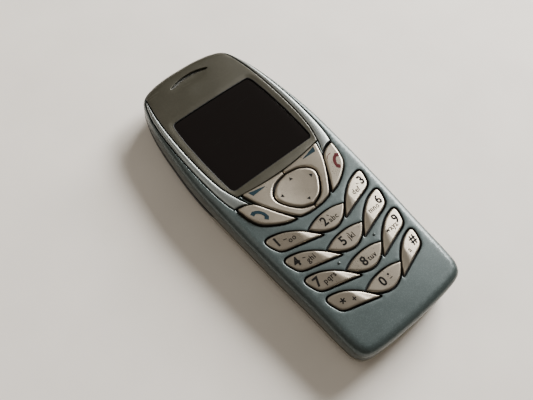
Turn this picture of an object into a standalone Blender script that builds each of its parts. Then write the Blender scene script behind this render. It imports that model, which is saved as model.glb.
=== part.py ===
"""A slim bar-shaped mobile phone of the early 2000s, lying on its back.

The frame: +X is the phone's right, +Y its top end and +Z its face. The origin is on the flat back, in the
middle of the length and the width. Lengths below are in millimetres, and solids are written in metres.
"""

import math

import bmesh
import bpy
from mathutils import Matrix, Vector, geometry

MM = 0.001

# Overall sizes of the case.
BODY_LENGTH = 102.0
BODY_WIDTH = 44.0

# The stack of layers, from the back to the face.
COVER_FLOOR = 1.0
BATTERY_THICK = 4.5
PLATE_THICK = 0.8
SHIELD_HEIGHT = 1.0
BOARD_THICK = 0.8
DOME_SHEET = 0.12
DOME_HEIGHT = 0.25
MAT_THICK = 0.6
KEY_TRAVEL = 0.45
CAP_DEPTH = 2.05  # from a cap's underside to the face of the cover, at the middle
STACK_GAP = 0.2

BATTERY_Z = COVER_FLOOR + STACK_GAP
PLATE_Z = BATTERY_Z + BATTERY_THICK + STACK_GAP
SHIELD_Z = PLATE_Z + PLATE_THICK + STACK_GAP
BOARD_Z = SHIELD_Z + SHIELD_HEIGHT + STACK_GAP
BOARD_TOP = BOARD_Z + BOARD_THICK
DOME_Z = BOARD_TOP + STACK_GAP / 2
DOME_TOP = DOME_Z + DOME_SHEET + DOME_HEIGHT
MAT_Z = DOME_TOP + STACK_GAP
MAT_TOP = MAT_Z + MAT_THICK
CAP_Z = MAT_TOP + KEY_TRAVEL + 0.1
FACE_Z = CAP_Z + CAP_DEPTH

# The face and the walls of the covers.
CROWN_END = 0.9  # the face is this much lower at the two ends
CROWN_SIDE = 0.3  # and this much lower at the two sides
EDGE_ROUND = 2.2
SIDE_WALL = 1.2
FACE_WALL = 1.6
FLANGE_DROP = 0.15
FLANGE_THICK = 0.4
FLANGE_INSET = 0.4
FLANGE_WIDE = 2.4
PARTING_GAP = 0.15  # from the flange between the covers to each of them
FIT = 0.3  # gap between pieces that touch

# The rear shell: how far its skin lies inside the outline, at each height above the back.
REAR_WALL = 0.8
REAR_SECTION = [(0.0, 4.6), (0.14, 3.9), (0.5, 3.0), (1.2, 1.9), (2.1, 1.0), (3.2, 0.4), (4.4, 0.1)]
SEAM_FRONT_Y = 7.0  # where the dark rear cap starts to show between the covers
SEAM_BACK_Y = 27.0  # where the seam reaches the back
SEAM_GAP = 0.3

# The display window, its silver trims and the display.
WINDOW_THICK = 0.8
WINDOW_MARGIN = 0.45  # from the window's top edge to the case's end
WINDOW_LOW = 3.85
WINDOW_LOW_RISE = 1.3
DISPLAY_WIDTH = 32.4
DISPLAY_LOW_Y = 6.8
DISPLAY_LENGTH = 30.4
DISPLAY_THICK = 0.7
FRAME_FLOOR = 0.3
FRAME_HIGH = 0.6
FRAME_BORDER = 0.5
EAR_SLOT_HALF = 6.9
EAR_SLOT_FROM_END = 5.3
EAR_SLOT_RISE = 1.5
EAR_SLOT_WIDE = 0.9
EARPIECE_SIZE = (12.4, 4.2, 1.0)

# The keys. The outlines are of the right-hand keys, and the left-hand ones mirror them.
KEY_GAP = 0.4
KEY_PROUD = 0.6
NAV_GAP = 0.55
NAV_PROUD = 0.7
KEY_BEVEL = 0.3
STEM_RADIUS = 1.3
STEM_GAP = 0.25
ROW_PITCH = 7.42
ROW_TAPER = [0.0, 0.35, 0.8, 1.7]  # each row is this much shorter at its outer end
SIDE_TIP = (4.5, -18.1)
SIDE_KEY = [SIDE_TIP, (8.0, -17.1), (12.0, -16.0), (15.0, -15.2), (16.6, -14.3), (17.4, -12.8), (18.0, -10.9),
            (17.8, -9.9), (16.5, -9.7), (13.3, -10.6), (10.6, -12.1), (8.5, -13.7), (6.9, -15.3), (5.6, -16.8),
            SIDE_TIP]
MID_KEY_TOP = [(6.5, -14.75), (3.5, -13.75), (0.0, -13.4), (-3.5, -13.75), (-6.5, -14.75)]
MID_KEY_LOW = [(-6.5, -14.75), (-5.2, -16.2), (-3.0, -17.85), (0.0, -18.65), (3.0, -17.85), (5.2, -16.2),
               (6.5, -14.75)]
NAV_HALF = [(0.0, -9.5), (3.1, -8.4), (5.3, -6.3), (6.9, -3.8), (7.25, -1.9), (6.2, -0.2), (3.8, 1.3), (0.0, 2.0)]
NAV_TILT_Z = CAP_Z - 0.1
NAV_ROCKER_RADIUS = 3.2
NAV_ROCKER_NECK = 1.2
NAV_DOME_REACH = 2.4
CALL_TIP = (6.9, -10.0)
CALL_OUTER = [CALL_TIP, (9.3, -9.4), (12.0, -8.1), (14.8, -6.2), (16.2, -4.5), (17.0, -2.4), (17.5, 0.0),
              (17.7, 1.9)]
CALL_TOP = [(17.7, 1.9), (15.2, 1.35), (13.3, 0.35)]
CALL_INNER = [(13.3, 0.35), (12.4, -0.9), (10.3, -4.6), (8.3, -7.9), CALL_TIP]
SOFT_SPLIT = 0.2  # half the slit between the two soft keys
SOFT_OUTER = [(5.1, -10.25), (6.4, -9.1), (9.5, -4.8), (12.3, 0.0), (13.9, 4.75)]
SOFT_LOW = [(SOFT_SPLIT, -10.85), (2.5, -10.75), (5.1, -10.25)]
SIDE_STEM = (12.6, -13.2)
MID_STEM = (0.0, -15.9)
CALL_STEM = (14.4, -3.2)
SOFT_STEM = (10.3, 0.9)
DOT_RADIUS = 0.4
DOT_HEIGHT = 0.25
DOT_AT = (6.7, -26.8)
TRIM_INNER = [(14.95, 47.0), (15.5, 45.0), (16.5, 40.0), (17.1, 35.0), (17.45, 30.0), (17.6, 25.0), (17.6, 20.0),
              (17.4, 15.0), (16.8, 10.0), (15.8, 6.5), (14.9, 4.0), (13.7, 1.2)]
TRIM_OUTER = [(15.65, 46.9), (16.6, 45.0), (17.95, 40.0), (18.8, 35.0), (19.3, 30.0), (19.6, 25.0), (19.75, 20.0),
              (19.7, 15.0), (19.5, 10.0), (19.2, 7.0), (18.8, 4.6), (18.3, 2.6)]
TRIM_TUCK = 0.35  # how far the trims' end bows towards the call keys

# The inside of the case.
BATTERY_WIDTH = 33.8
BATTERY_LENGTH = 53.0
BATTERY_LOW_Y = -36.0
BATTERY_ROUND = 1.2
BAY_WALL = 0.8
CONTACT_SIZE = (8.0, 3.0, 3.4)
CONTACT_X = 9.0
SIM_SIZE = (25.0, 15.0, 0.76)
SIM_Y = 1.5
SHIELD_WIDTH = 26.0
RF_SHIELD_Y = (13.0, 33.0)
BASE_SHIELD_Y = (-34.0, -10.5)
SCREW_TOP = (13.4, 42.0)
SCREW_LOW = (14.6, -44.2)
SCREW_SHANK = 0.65
SCREW_HEAD = 1.25
SCREW_HEAD_HIGH = 0.7
BOSS_RADIUS = 1.7
MAT_HALF = 17.0
MAT_LOW_Y = -42.2
MAT_HIGH_Y = 4.3
ANTENNA_SIZE = (22.0, 11.0, 3.4)
ANTENNA_FROM_END = 9.5
SPEAKER_RADIUS = 4.5
SPEAKER_HIGH = 3.0
SPEAKER_AT = (-11.2, 24.6)
MOTOR_RADIUS = 1.7
MOTOR_LENGTH = 6.6
MOTOR_AT = (3.6, 24.6)
MOTOR_SHAFT = 0.4
WEIGHT_RADIUS = 1.55
WEIGHT_LENGTH = 3.0

# The two ends.
HOUSING_HALF = 15.4
HOUSING_DEEP = 4.6
HOUSING_RECESS = 0.5
HOUSING_BELOW = 2.7  # how far the connectors' housing reaches under the chassis plate
HOUSING_ABOVE = 2.5  # and over its underside
CHARGER_X = -11.0
CHARGER_RADIUS = 1.95
CHARGER_BORE = 1.4
CHARGER_PIN = 0.45
PORT_SIZE = (14.4, 5.2, 2.9)
PORT_X = 0.8
MICROPHONE_X = 12.3
MICROPHONE_RADIUS = 1.5
MICROPHONE_HOLE = 0.5
POWER_HALF = 4.6
POWER_HIGH = 2.2
POWER_TRAVEL = 0.4
POWER_GAP = 0.25
POWER_FLANGE = 0.7
POWER_PROUD = 0.0  # how far the power key stands out of the end
POWER_STEM = (3.0, 1.0)
SWITCH_SIZE = (5.0, 1.8, 1.0)
BUTTON_HALF = (5.6, 1.9)
BUTTON_AT_Y = 31.0
BUTTON_TRAVEL = 0.6
BUTTON_FLANGE = 1.1
SPRING_LEAF = (10.0, 2.0, 0.2)
TONGUE_HALF = 2.2
TONGUE_THICK = 0.6

END_Y = BODY_LENGTH / 2
HALF_WIDTH = BODY_WIDTH / 2
RIM_Z = PLATE_Z - FLANGE_DROP - PARTING_GAP
LIP_Z = PLATE_Z - FLANGE_DROP + FLANGE_THICK + PARTING_GAP
HOUSING_LOW = PLATE_Z - HOUSING_BELOW
HOUSING_HIGH = PLATE_Z + HOUSING_ABOVE
CHARGER_Z = (HOUSING_LOW + HOUSING_HIGH) / 2
SWITCH_Y = END_Y - SIDE_WALL - 3.4
POWER_Z = LIP_Z + 1.0
DISPLAY_Z = BOARD_TOP + STACK_GAP + FRAME_FLOOR + 0.1
STEM_Z = DOME_TOP + KEY_TRAVEL + 0.1


# ---------------------------------------------------------------- outlines


def curve_through(points, steps=4):
    """Points of a smooth open curve through the given ones, corner to corner."""
    first = [2 * a - b for a, b in zip(points[0], points[1])]
    last = [2 * a - b for a, b in zip(points[-1], points[-2])]
    padded = [first, *points, last]
    made = []
    for i in range(len(points) - 1):
        p0, p1, p2, p3 = (Vector(p) for p in padded[i:i + 4])
        for k in range(steps):
            t = k / steps
            made.append(((2 * p1) + (p2 - p0) * t + (2 * p0 - 5 * p1 + 4 * p2 - p3) * t * t
                         + (3 * p1 - p0 - 3 * p2 + p3) * t ** 3) / 2)
    made.append(Vector(points[-1]))
    return [(p[0], p[1]) for p in made]


def joined(*curves):
    """One closed outline from curves that meet end to end."""
    return [p for curve in curves for p in curve[:-1]]


def mirrored(points):
    return [(-x, y) for x, y in reversed(points)]


def turns_left(outline):
    return sum(x0 * y1 - x1 * y0 for (x0, y0), (x1, y1) in zip(outline, outline[1:] + outline[:1])) > 0


def offset(outline, distance):
    """The outline grown by distance, or shrunk by a negative one. Sharp tips grow by at most 1.6 times."""
    side = 1 if turns_left(outline) else -1
    made = []
    count = len(outline)
    for i, point in enumerate(outline):
        before = (Vector(point) - Vector(outline[i - 1])).normalized()
        after = (Vector(outline[(i + 1) % count]) - Vector(point)).normalized()
        normals = [Vector((d.y, -d.x)) * side for d in (before, after)]
        middle = (normals[0] + normals[1]).normalized()
        reach = min(1.6, 1 / max(0.3, middle.dot(normals[0])))
        made.append(tuple(Vector(point) + middle * distance * reach))
    return made


def case_outline():
    """The case seen from the front: widest above the middle, with rounded ends."""
    long, wide = END_Y, HALF_WIDTH
    half = [(0.0, -long), (wide * 0.45, -long + 0.3), (wide - 5.4, -long + 1.2), (wide - 2.9, -long + 3.4),
            (wide - 2.1, -long + 7.5), (wide - 1.6, -long + 20.0), (wide - 0.7, -long + 36.0), (wide, 12.0),
            (wide - 1.1, long - 24.0), (wide - 2.6, long - 14.0), (wide - 4.4, long - 7.6),
            (wide - 6.6, long - 3.1), (wide - 10.5, long - 1.1), (wide * 0.25, long - 0.15), (0.0, long)]
    right = curve_through(half, 3)
    right[0], right[-1] = (0.0, -long), (0.0, long)
    return joined(right, mirrored(right))


CASE = case_outline()


def inset(distance):
    """The case's outline drawn in by a distance at its sides and ends."""
    return [(x * (1 - distance / HALF_WIDTH), y * (1 - distance / END_Y)) for x, y in CASE]


def edge_distance(x, y):
    """How far a point inside the case lies from its outline."""
    here = Vector((x, y, 0.0))
    nearest = END_Y
    for i, corner in enumerate(CASE):
        start, end = Vector((*corner, 0.0)), Vector((*CASE[(i + 1) % len(CASE)], 0.0))
        share = geometry.intersect_point_line(here, start, end)[1]
        nearest = min(nearest, (start.lerp(end, min(1.0, max(0.0, share))) - here).length)
    return nearest


def face_height(x, y):
    """The crowned face, without its rounded edges."""
    return FACE_Z - CROWN_END * (y / END_Y) ** 2 - CROWN_SIDE * (x / HALF_WIDTH) ** 2


def skin_height(x, y):
    """The outer skin of the front, with its rounded edges."""
    inside = EDGE_ROUND - min(EDGE_ROUND, edge_distance(x, y))
    return face_height(x, y) - EDGE_ROUND + math.sqrt(EDGE_ROUND ** 2 - inside ** 2)


def side_key(row):
    """A right-hand number key's outline in the given row, from 0 at the top."""
    reach = SIDE_KEY[6][0] - SIDE_TIP[0]
    return joined(curve_through([
        (x - ROW_TAPER[row] * (x - SIDE_TIP[0]) / reach, y - ROW_PITCH * row) for x, y in SIDE_KEY], 2))


def mid_key(row):
    outline = joined(curve_through(MID_KEY_TOP, 3), curve_through(MID_KEY_LOW, 2))
    return [(x, y - ROW_PITCH * row) for x, y in outline]


def nav_outline():
    half = curve_through(NAV_HALF, 2)
    return joined(half, mirrored(half))


def call_outline():
    return joined(curve_through(CALL_OUTER, 2), curve_through(CALL_TOP, 3), curve_through(CALL_INNER, 2))


def window_low(x):
    """The window's lower edge, which dips in the middle."""
    return WINDOW_LOW + WINDOW_LOW_RISE * min(1.0, (x / TRIM_INNER[-2][0]) ** 2)


def soft_outline():
    """A right-hand soft key, which wraps round the navigation key."""
    reach = SOFT_OUTER[-1][0]
    top = [(x, window_low(x) - FIT) for x in (reach, reach * 0.66, reach * 0.33, SOFT_SPLIT)]
    outer = curve_through([*SOFT_OUTER[:-1], top[0]], 2)
    around = [p for p in offset(nav_outline(), NAV_GAP) if p[0] > SOFT_SPLIT * 2]
    inner = [(SOFT_SPLIT, NAV_HALF[-1][1] + NAV_GAP), *reversed(around), (SOFT_SPLIT, NAV_HALF[0][1] - NAV_GAP)]
    return joined(curve_through(SOFT_LOW, 2), outer, curve_through(top, 2), [top[-1], inner[0]], [*inner, SOFT_LOW[0]])


def lengthened(points):
    """Points of the window's sides, moved with the case's top end and sides where the case's size changes."""
    grow_y, grow_x = END_Y - 51.0, HALF_WIDTH - 22.0
    top = TRIM_INNER[0][1]
    return [(x + grow_x, y + grow_y * max(0.0, y / top)) for x, y in points]


def trim_outline():
    inner, outer = lengthened(TRIM_INNER), lengthened(TRIM_OUTER)
    top = [outer[0], inner[0]]
    middle = ((inner[-1][0] + outer[-1][0]) / 2, (inner[-1][1] + outer[-1][1]) / 2 + TRIM_TUCK)
    low = curve_through([inner[-1], middle, outer[-1]], 3)
    return joined(curve_through(list(reversed(outer)), 2), top, curve_through(inner, 2), low)


def rounded_box(low, high, radius, steps=3):
    """A rectangle with round corners, from its low corner to its high one."""
    made = []
    for k in range(4):
        cx = high[0] - radius if k in (0, 3) else low[0] + radius
        cy = high[1] - radius if k in (0, 1) else low[1] + radius
        for i in range(steps + 1):
            angle = math.radians(90 * k + 90 * i / steps)
            made.append((cx + radius * math.cos(angle), cy + radius * math.sin(angle)))
    return made


# ---------------------------------------------------------------- solids, in millimetres


def solid(outline, low, high):
    """A straight solid over the outline. low and high are heights, or functions of x and y."""
    points = outline if turns_left(outline) else list(reversed(outline))
    bottom = low if callable(low) else lambda x, y: low
    top = high if callable(high) else lambda x, y: high
    made = bmesh.new()
    corners = [made.verts.new((x, y, bottom(x, y))) for x, y in points]
    base = made.faces.new(corners)
    raised = bmesh.ops.extrude_face_region(made, geom=[base])["geom"]
    for vert in (v for v in raised if isinstance(v, bmesh.types.BMVert)):
        vert.co.z = top(vert.co.x, vert.co.y)
    bmesh.ops.recalc_face_normals(made, faces=made.faces)
    return made


def box(low, high):
    made = bmesh.new()
    size = [h - l for l, h in zip(low, high)]
    middle = [(h + l) / 2 for l, h in zip(low, high)]
    bmesh.ops.create_cube(made, size=1.0, matrix=Matrix.Translation(middle) @ Matrix.Diagonal((*size, 1.0)))
    return made


def cylinder(middle, radius, length, axis="Z", segments=20, tip=None):
    """A round bar, or a cone with its smaller end at tip, centred on middle."""
    turn = {"X": Matrix.Rotation(math.pi / 2, 4, "Y"), "Y": Matrix.Rotation(-math.pi / 2, 4, "X"),
            "Z": Matrix.Identity(4)}[axis]
    made = bmesh.new()
    bmesh.ops.create_cone(made, cap_ends=True, segments=segments, radius1=radius, radius2=radius if tip is None else tip,
                          depth=length, matrix=Matrix.Translation(middle) @ turn)
    return made


def loft(rings):
    """A closed solid through rings of equally many points, with flat ends."""
    made = bmesh.new()
    rows = [[made.verts.new(p) for p in ring] for ring in rings]
    count = len(rows[0])
    for lower, upper in zip(rows, rows[1:]):
        for i in range(count):
            j = (i + 1) % count
            made.faces.new((lower[i], lower[j], upper[j], upper[i]))
    made.faces.new(list(reversed(rows[0])))
    made.faces.new(rows[-1])
    return cleaned(made)


def cleaned(made):
    bmesh.ops.remove_doubles(made, verts=made.verts, dist=1e-5)
    bmesh.ops.dissolve_degenerate(made, edges=made.edges, dist=1e-6)
    bmesh.ops.recalc_face_normals(made, faces=made.faces)
    return made


def crowned_rings(outline, height, shares=(0.45, 0.75, 0.999)):
    """Rings that carry a crowned top from an outline in to the line down its middle."""
    spine = max(y for x, y in outline) - HALF_WIDTH
    made = []
    for share in shares:
        ring = [(x * (1 - share), y * (1 - share) + share * min(spine, max(-spine, y))) for x, y in outline]
        made.append([(x, y, height(x, y)) for x, y in ring])
    return made


def sheet_grid(half_width, low_edge, high_edge, columns, rows):
    """A grid mapped between two side curves and two end curves, all functions."""
    made = bmesh.new()
    bmesh.ops.create_grid(made, x_segments=columns, y_segments=rows, size=1.0)
    for vert in made.verts:
        across, along = vert.co.x, (vert.co.y + 1) / 2
        x = across * half_width(low_edge(0) * (1 - along) + high_edge(0) * along)
        vert.co.x, vert.co.y = x, low_edge(x) * (1 - along) + high_edge(x) * along
    return made


def thickened(made, low, high):
    """A sheet in the XY plane given a lower and an upper side, both functions of x and y."""
    raised = bmesh.ops.extrude_face_region(made, geom=list(made.faces))["geom"]
    upper = {v for v in raised if isinstance(v, bmesh.types.BMVert)}
    for vert in made.verts:
        vert.co.z = (high if vert in upper else low)(vert.co.x, vert.co.y)
    bmesh.ops.recalc_face_normals(made, faces=made.faces)
    return made


def softened(made, width, steps=1, above=None):
    """Bevels the sharp edges, or only those wholly above a height."""
    made.normal_update()
    chosen = [e for e in made.edges if len(e.link_faces) == 2 and e.calc_face_angle() > math.radians(50)
              and (above is None or min(v.co.z for v in e.verts) > above)]
    bmesh.ops.bevel(made, geom=chosen, offset=width, segments=steps, profile=0.5, affect="EDGES", clamp_overlap=True)
    return made


# ---------------------------------------------------------------- Blender objects


def cleared_scene():
    for found in list(bpy.data.objects):
        bpy.data.objects.remove(found, do_unlink=True)


def collection(name):
    made = bpy.data.collections.new(name)
    bpy.context.scene.collection.children.link(made)
    return made


def finish_of(name, colour, roughness, metallic):
    made = bpy.data.materials.new(name)
    made.use_nodes = True
    shader = made.node_tree.nodes["Principled BSDF"]
    shader.inputs["Base Color"].default_value = (*colour, 1.0)
    shader.inputs["Roughness"].default_value = roughness
    shader.inputs["Metallic"].default_value = metallic
    made.diffuse_color = (*colour, 1.0)
    return made


cleared_scene()
PHONE = collection("mobile_phone")
CUTTERS = collection("cutters")
BLUE = finish_of("case_blue", (0.10, 0.14, 0.15), 0.4, 0.5)
SILVER = finish_of("silver_paint", (0.42, 0.41, 0.37), 0.35, 0.6)
KEY_SILVER = finish_of("key_silver", (0.38, 0.34, 0.29), 0.35, 0.6)
GUNMETAL = finish_of("window_gunmetal", (0.07, 0.07, 0.055), 0.35, 0.5)
REAR = finish_of("rear_silver", (0.32, 0.31, 0.28), 0.45, 0.3)
DARK = finish_of("dark_plastic", (0.02, 0.02, 0.022), 0.5, 0.0)
RUBBER = finish_of("silicone", (0.05, 0.05, 0.05), 0.8, 0.0)
METAL = finish_of("tinned_steel", (0.5, 0.5, 0.48), 0.35, 1.0)
BOARD = finish_of("board_green", (0.02, 0.12, 0.06), 0.5, 0.0)
GLASS = finish_of("display_glass", (0.01, 0.01, 0.012), 0.1, 0.0)
GOLD = finish_of("gold_contact", (0.6, 0.42, 0.12), 0.3, 1.0)
WHITE = finish_of("white_plastic", (0.6, 0.6, 0.57), 0.5, 0.0)


def placed(name, made, finish, origin=(0.0, 0.0, 0.0), where=None):
    """A Blender object from a solid in millimetres, with its origin at the given point."""
    bmesh.ops.translate(made, verts=made.verts, vec=[-v for v in origin])
    bmesh.ops.scale(made, verts=made.verts, vec=(MM, MM, MM))
    mesh = bpy.data.meshes.new(name)
    made.to_mesh(mesh)
    made.free()
    mesh.shade_smooth()
    mesh.set_sharp_from_angle(angle=math.radians(35))
    if finish:
        mesh.materials.append(finish)
    item = bpy.data.objects.new(name, mesh)
    item.location = Vector(origin) * MM
    (where or PHONE).objects.link(item)
    return item


def boolean(item, made, operation="DIFFERENCE"):
    """Cuts a solid from an object, joins it on, or keeps what they share."""
    number = len(item.modifiers) + 1
    cutter = placed(f"{item.name}_tool_{number}", made, None, where=CUTTERS)
    cutter.hide_render = True
    cutter.display_type = "WIRE"
    modifier = item.modifiers.new(f"{operation.lower()}_{number}", "BOOLEAN")
    modifier.operation = operation
    modifier.object = cutter
    modifier.solver = "EXACT"
    return item


# ---------------------------------------------------------------- the front


def shell_rings(distance, height, bottom, shoulder):
    """Rings up a wall that lies a distance inside the case, round its edge and over the crowned face."""
    rings = [[(x, y, z) for x, y in inset(distance)] for z in bottom]
    for degrees in shoulder:
        angle = math.radians(degrees)
        inward = distance + EDGE_ROUND * (1 - math.cos(angle))
        drop = EDGE_ROUND * (1 - math.sin(angle))
        rings.append([(x, y, height(x, y) - drop) for x, y in inset(inward)])
    last = [(x, y) for x, y, z in rings[-1]]
    return rings + crowned_rings(last, height)


def window_half_width(y):
    """Half the window's width at a height on the face: the trims' inner edge."""
    edge = lengthened(TRIM_INNER)
    if y >= edge[0][1]:
        return edge[0][0] - 0.3 * (y - edge[0][1])
    for (x1, y1), (x0, y0) in zip(edge, edge[1:]):
        if y >= y0:
            return x0 + (x1 - x0) * (y - y0) / (y1 - y0)
    return edge[-1][0]


def window_high(x):
    """The window's top edge, which follows the end of the case."""
    spans = sorted((p for p in CASE if p[1] > END_Y * 0.7), key=lambda p: p[0])
    for (x0, y0), (x1, y1) in zip(spans, spans[1:]):
        if x0 <= x <= x1 and x1 > x0:
            return y0 + (y1 - y0) * (x - x0) / (x1 - x0) - WINDOW_MARGIN
    return spans[0][1] - WINDOW_MARGIN


def window_sheet(grow):
    return sheet_grid(lambda y: window_half_width(y) + grow, lambda x: window_low(x) - grow - FIT / 2,
                      lambda x: window_high(x) + grow, 10, 14)


def ear_slot():
    """The curved slot over the earpiece."""
    y = END_Y - EAR_SLOT_FROM_END
    rise = [(-1.0, 0.0), (-0.5, 0.78), (0.0, 1.0), (0.5, 0.78), (1.0, 0.0)]
    upper = curve_through([(u * EAR_SLOT_HALF, y + EAR_SLOT_RISE * v) for u, v in rise], 3)
    lower = curve_through([(u * EAR_SLOT_HALF, y + EAR_SLOT_RISE * v - EAR_SLOT_WIDE) for u, v in reversed(rise)], 3)
    return joined(upper, [upper[-1], lower[0]], lower, [lower[-1], upper[0]])


def keyed_outlines():
    """Every key's name, outline and stem."""
    made = []
    names = [("key_1", "key_2", "key_3"), ("key_4", "key_5", "key_6"), ("key_7", "key_8", "key_9"),
             ("key_star", "key_0", "key_hash")]
    for row, (left, middle, right) in enumerate(names):
        outline = side_key(row)
        stem_x, stem_y = SIDE_STEM[0] - ROW_TAPER[row] / 2, SIDE_STEM[1] - ROW_PITCH * row
        made.append((left, mirrored(outline), (-stem_x, stem_y)))
        made.append((middle, mid_key(row), (MID_STEM[0], MID_STEM[1] - ROW_PITCH * row)))
        made.append((right, outline, (stem_x, stem_y)))
    made.append(("call_key", mirrored(call_outline()), (-CALL_STEM[0], CALL_STEM[1])))
    made.append(("end_key", call_outline(), CALL_STEM))
    made.append(("soft_key_left", mirrored(soft_outline()), (-SOFT_STEM[0], SOFT_STEM[1])))
    made.append(("soft_key_right", soft_outline(), SOFT_STEM))
    return made


KEYS = keyed_outlines()
NAV_CENTRE = (0.0, (NAV_HALF[0][1] + NAV_HALF[-1][1]) / 2)
SLOT_Y = END_Y - EAR_SLOT_FROM_END + EAR_SLOT_RISE / 2 - EAR_SLOT_WIDE / 2


def screw_points():
    return [(side * x, y) for x, y in (SCREW_TOP, SCREW_LOW) for side in (-1, 1)]


def housing_box(grow):
    """The space of the connectors' housing at the lower end."""
    return box((-HOUSING_HALF - grow, -END_Y - 2, HOUSING_LOW - grow),
               (HOUSING_HALF + grow, -END_Y + HOUSING_DEEP + grow, HOUSING_HIGH + grow))


def power_box(grow, inner, outer):
    """The power key's cap, with rounded ends, between two lengths."""
    profile = rounded_box((-POWER_HALF - grow, POWER_Z - grow), (POWER_HALF + grow, POWER_Z + POWER_HIGH + grow),
                          (POWER_HIGH / 2 + grow) * 0.9)
    made = solid(profile, inner, outer)
    for vert in made.verts:
        vert.co = (vert.co.x, vert.co.z, vert.co.y)
    bmesh.ops.recalc_face_normals(made, faces=made.faces)
    return made


def power_flange(grow, deep):
    """The plate that keeps the power key behind the wall, or the pocket that it moves in."""
    wall = END_Y - SIDE_WALL
    half = POWER_HALF + POWER_FLANGE + grow
    return box((-half, wall - POWER_GAP - deep, POWER_Z - POWER_FLANGE + 0.25 - grow),
               (half, wall - POWER_GAP + grow, POWER_Z + POWER_HIGH + POWER_FLANGE - 0.25 + grow))


def front_cover():
    cover = placed("front_cover", loft(shell_rings(0.0, face_height, (LIP_Z,), (0, 25, 52, 90))), BLUE)
    boolean(cover, loft(shell_rings(SIDE_WALL, lambda x, y: face_height(x, y) - FACE_WALL, (LIP_Z - 2,), (8, 45, 90))))
    for x, y in screw_points():
        top = face_height(x, y) - FACE_WALL + 0.25
        low = BOARD_TOP + STACK_GAP
        boolean(cover, cylinder((x, y, (top + low) / 2), BOSS_RADIUS, top - low), "UNION")
        boolean(cover, cylinder((x, y, (top + low) / 2 - 1), SCREW_SHANK + 0.15, top - low + 1.5, segments=12))
    recess = thickened(window_sheet(0.1), lambda x, y: skin_height(x, y) - WINDOW_THICK - 0.2,
                       lambda x, y: FACE_Z + 2)
    boolean(cover, recess)
    through = rounded_box((-DISPLAY_WIDTH / 2 - FIT, DISPLAY_LOW_Y - FIT),
                          (DISPLAY_WIDTH / 2 + FIT, DISPLAY_LOW_Y + DISPLAY_LENGTH + FIT), 1.0)
    boolean(cover, solid(through, MAT_TOP - 1, FACE_Z + 2))
    boolean(cover, box((-EAR_SLOT_HALF + 1, SLOT_Y - 0.9, MAT_TOP - 1), (EAR_SLOT_HALF - 1, SLOT_Y + 0.9, FACE_Z + 2)))
    for outline in (trim_outline(), mirrored(trim_outline())):
        boolean(cover, solid(offset(outline, 0.1), lambda x, y: skin_height(x, y) - 1.0, lambda x, y: FACE_Z + 2))
    for name, outline, stem in KEYS:
        boolean(cover, solid(offset(outline, KEY_GAP), MAT_TOP - 1, FACE_Z + 2))
    boolean(cover, solid(offset(nav_outline(), NAV_GAP), MAT_TOP - 1, FACE_Z + 2))
    boolean(cover, power_box(POWER_GAP, END_Y - 4, END_Y + 2))
    boolean(cover, power_flange(POWER_GAP, 4.0))
    boolean(cover, housing_box(FIT))
    for side in (-1, 1):
        x, y = side * DOT_AT[0], DOT_AT[1]
        dot = cylinder((x, y, face_height(x, y)), DOT_RADIUS * 1.3, DOT_HEIGHT * 2, segments=10, tip=DOT_RADIUS / 2)
        boolean(cover, dot, "UNION")
    return cover


def display_window():
    sheet = thickened(window_sheet(-0.15), lambda x, y: skin_height(x, y) - WINDOW_THICK, skin_height)
    window = placed("display_window", sheet, GUNMETAL)
    boolean(window, solid(ear_slot(), FACE_Z - 5, FACE_Z + 2))
    return window


def trims():
    for name, outline in (("trim_left", mirrored(trim_outline())), ("trim_right", trim_outline())):
        made = solid(offset(outline, -0.15), lambda x, y: skin_height(x, y) - 0.8,
                     lambda x, y: skin_height(x, y) + 0.12)
        placed(name, made, SILVER)


# ---------------------------------------------------------------- the keys


def cap_height(x, y):
    """The tops of the keys, which follow the face."""
    return face_height(x, y) + KEY_PROUD


def keys():
    for name, outline, (stem_x, stem_y) in KEYS:
        cap = solid(outline, CAP_Z, cap_height)
        item = placed(name, softened(cap, KEY_BEVEL, above=CAP_Z + 1), KEY_SILVER, (stem_x, stem_y, CAP_Z))
        top = CAP_Z + 0.4
        boolean(item, cylinder((stem_x, stem_y, (STEM_Z + top) / 2), STEM_RADIUS, top - STEM_Z, segments=12), "UNION")


def navigation_key():
    x, y = NAV_CENTRE
    cap = solid(nav_outline(), CAP_Z, lambda x, y: face_height(x, y) + NAV_PROUD)
    placed("nav_key", softened(cap, KEY_BEVEL * 1.4, 2, above=CAP_Z + 1), KEY_SILVER, (x, y, NAV_TILT_Z))
    high = CAP_Z - 0.12
    foot = cylinder((x, y, (STEM_Z + high) / 2), NAV_ROCKER_RADIUS, high - STEM_Z, tip=NAV_ROCKER_NECK)
    placed("nav_rocker", foot, RUBBER, (x, y, NAV_TILT_Z))


def keypad_mat():
    outline = rounded_box((-MAT_HALF, MAT_LOW_Y), (MAT_HALF, MAT_HIGH_Y), 3.0)
    mat = placed("keypad_mat", solid(outline, MAT_Z, MAT_TOP), RUBBER)
    middle = (MAT_Z + MAT_TOP) / 2
    for name, outline, (x, y) in KEYS:
        boolean(mat, cylinder((x, y, middle), STEM_RADIUS + STEM_GAP, 2.0, segments=12))
    boolean(mat, cylinder((*NAV_CENTRE, middle), NAV_ROCKER_RADIUS + STEM_GAP, 2.0))


def dome_points():
    x, y = NAV_CENTRE
    around = [(x + NAV_DOME_REACH * c, y + NAV_DOME_REACH * s) for c, s in ((1, 0), (0, 1), (-1, 0), (0, -1))]
    return [stem for name, outline, stem in KEYS] + around


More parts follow.
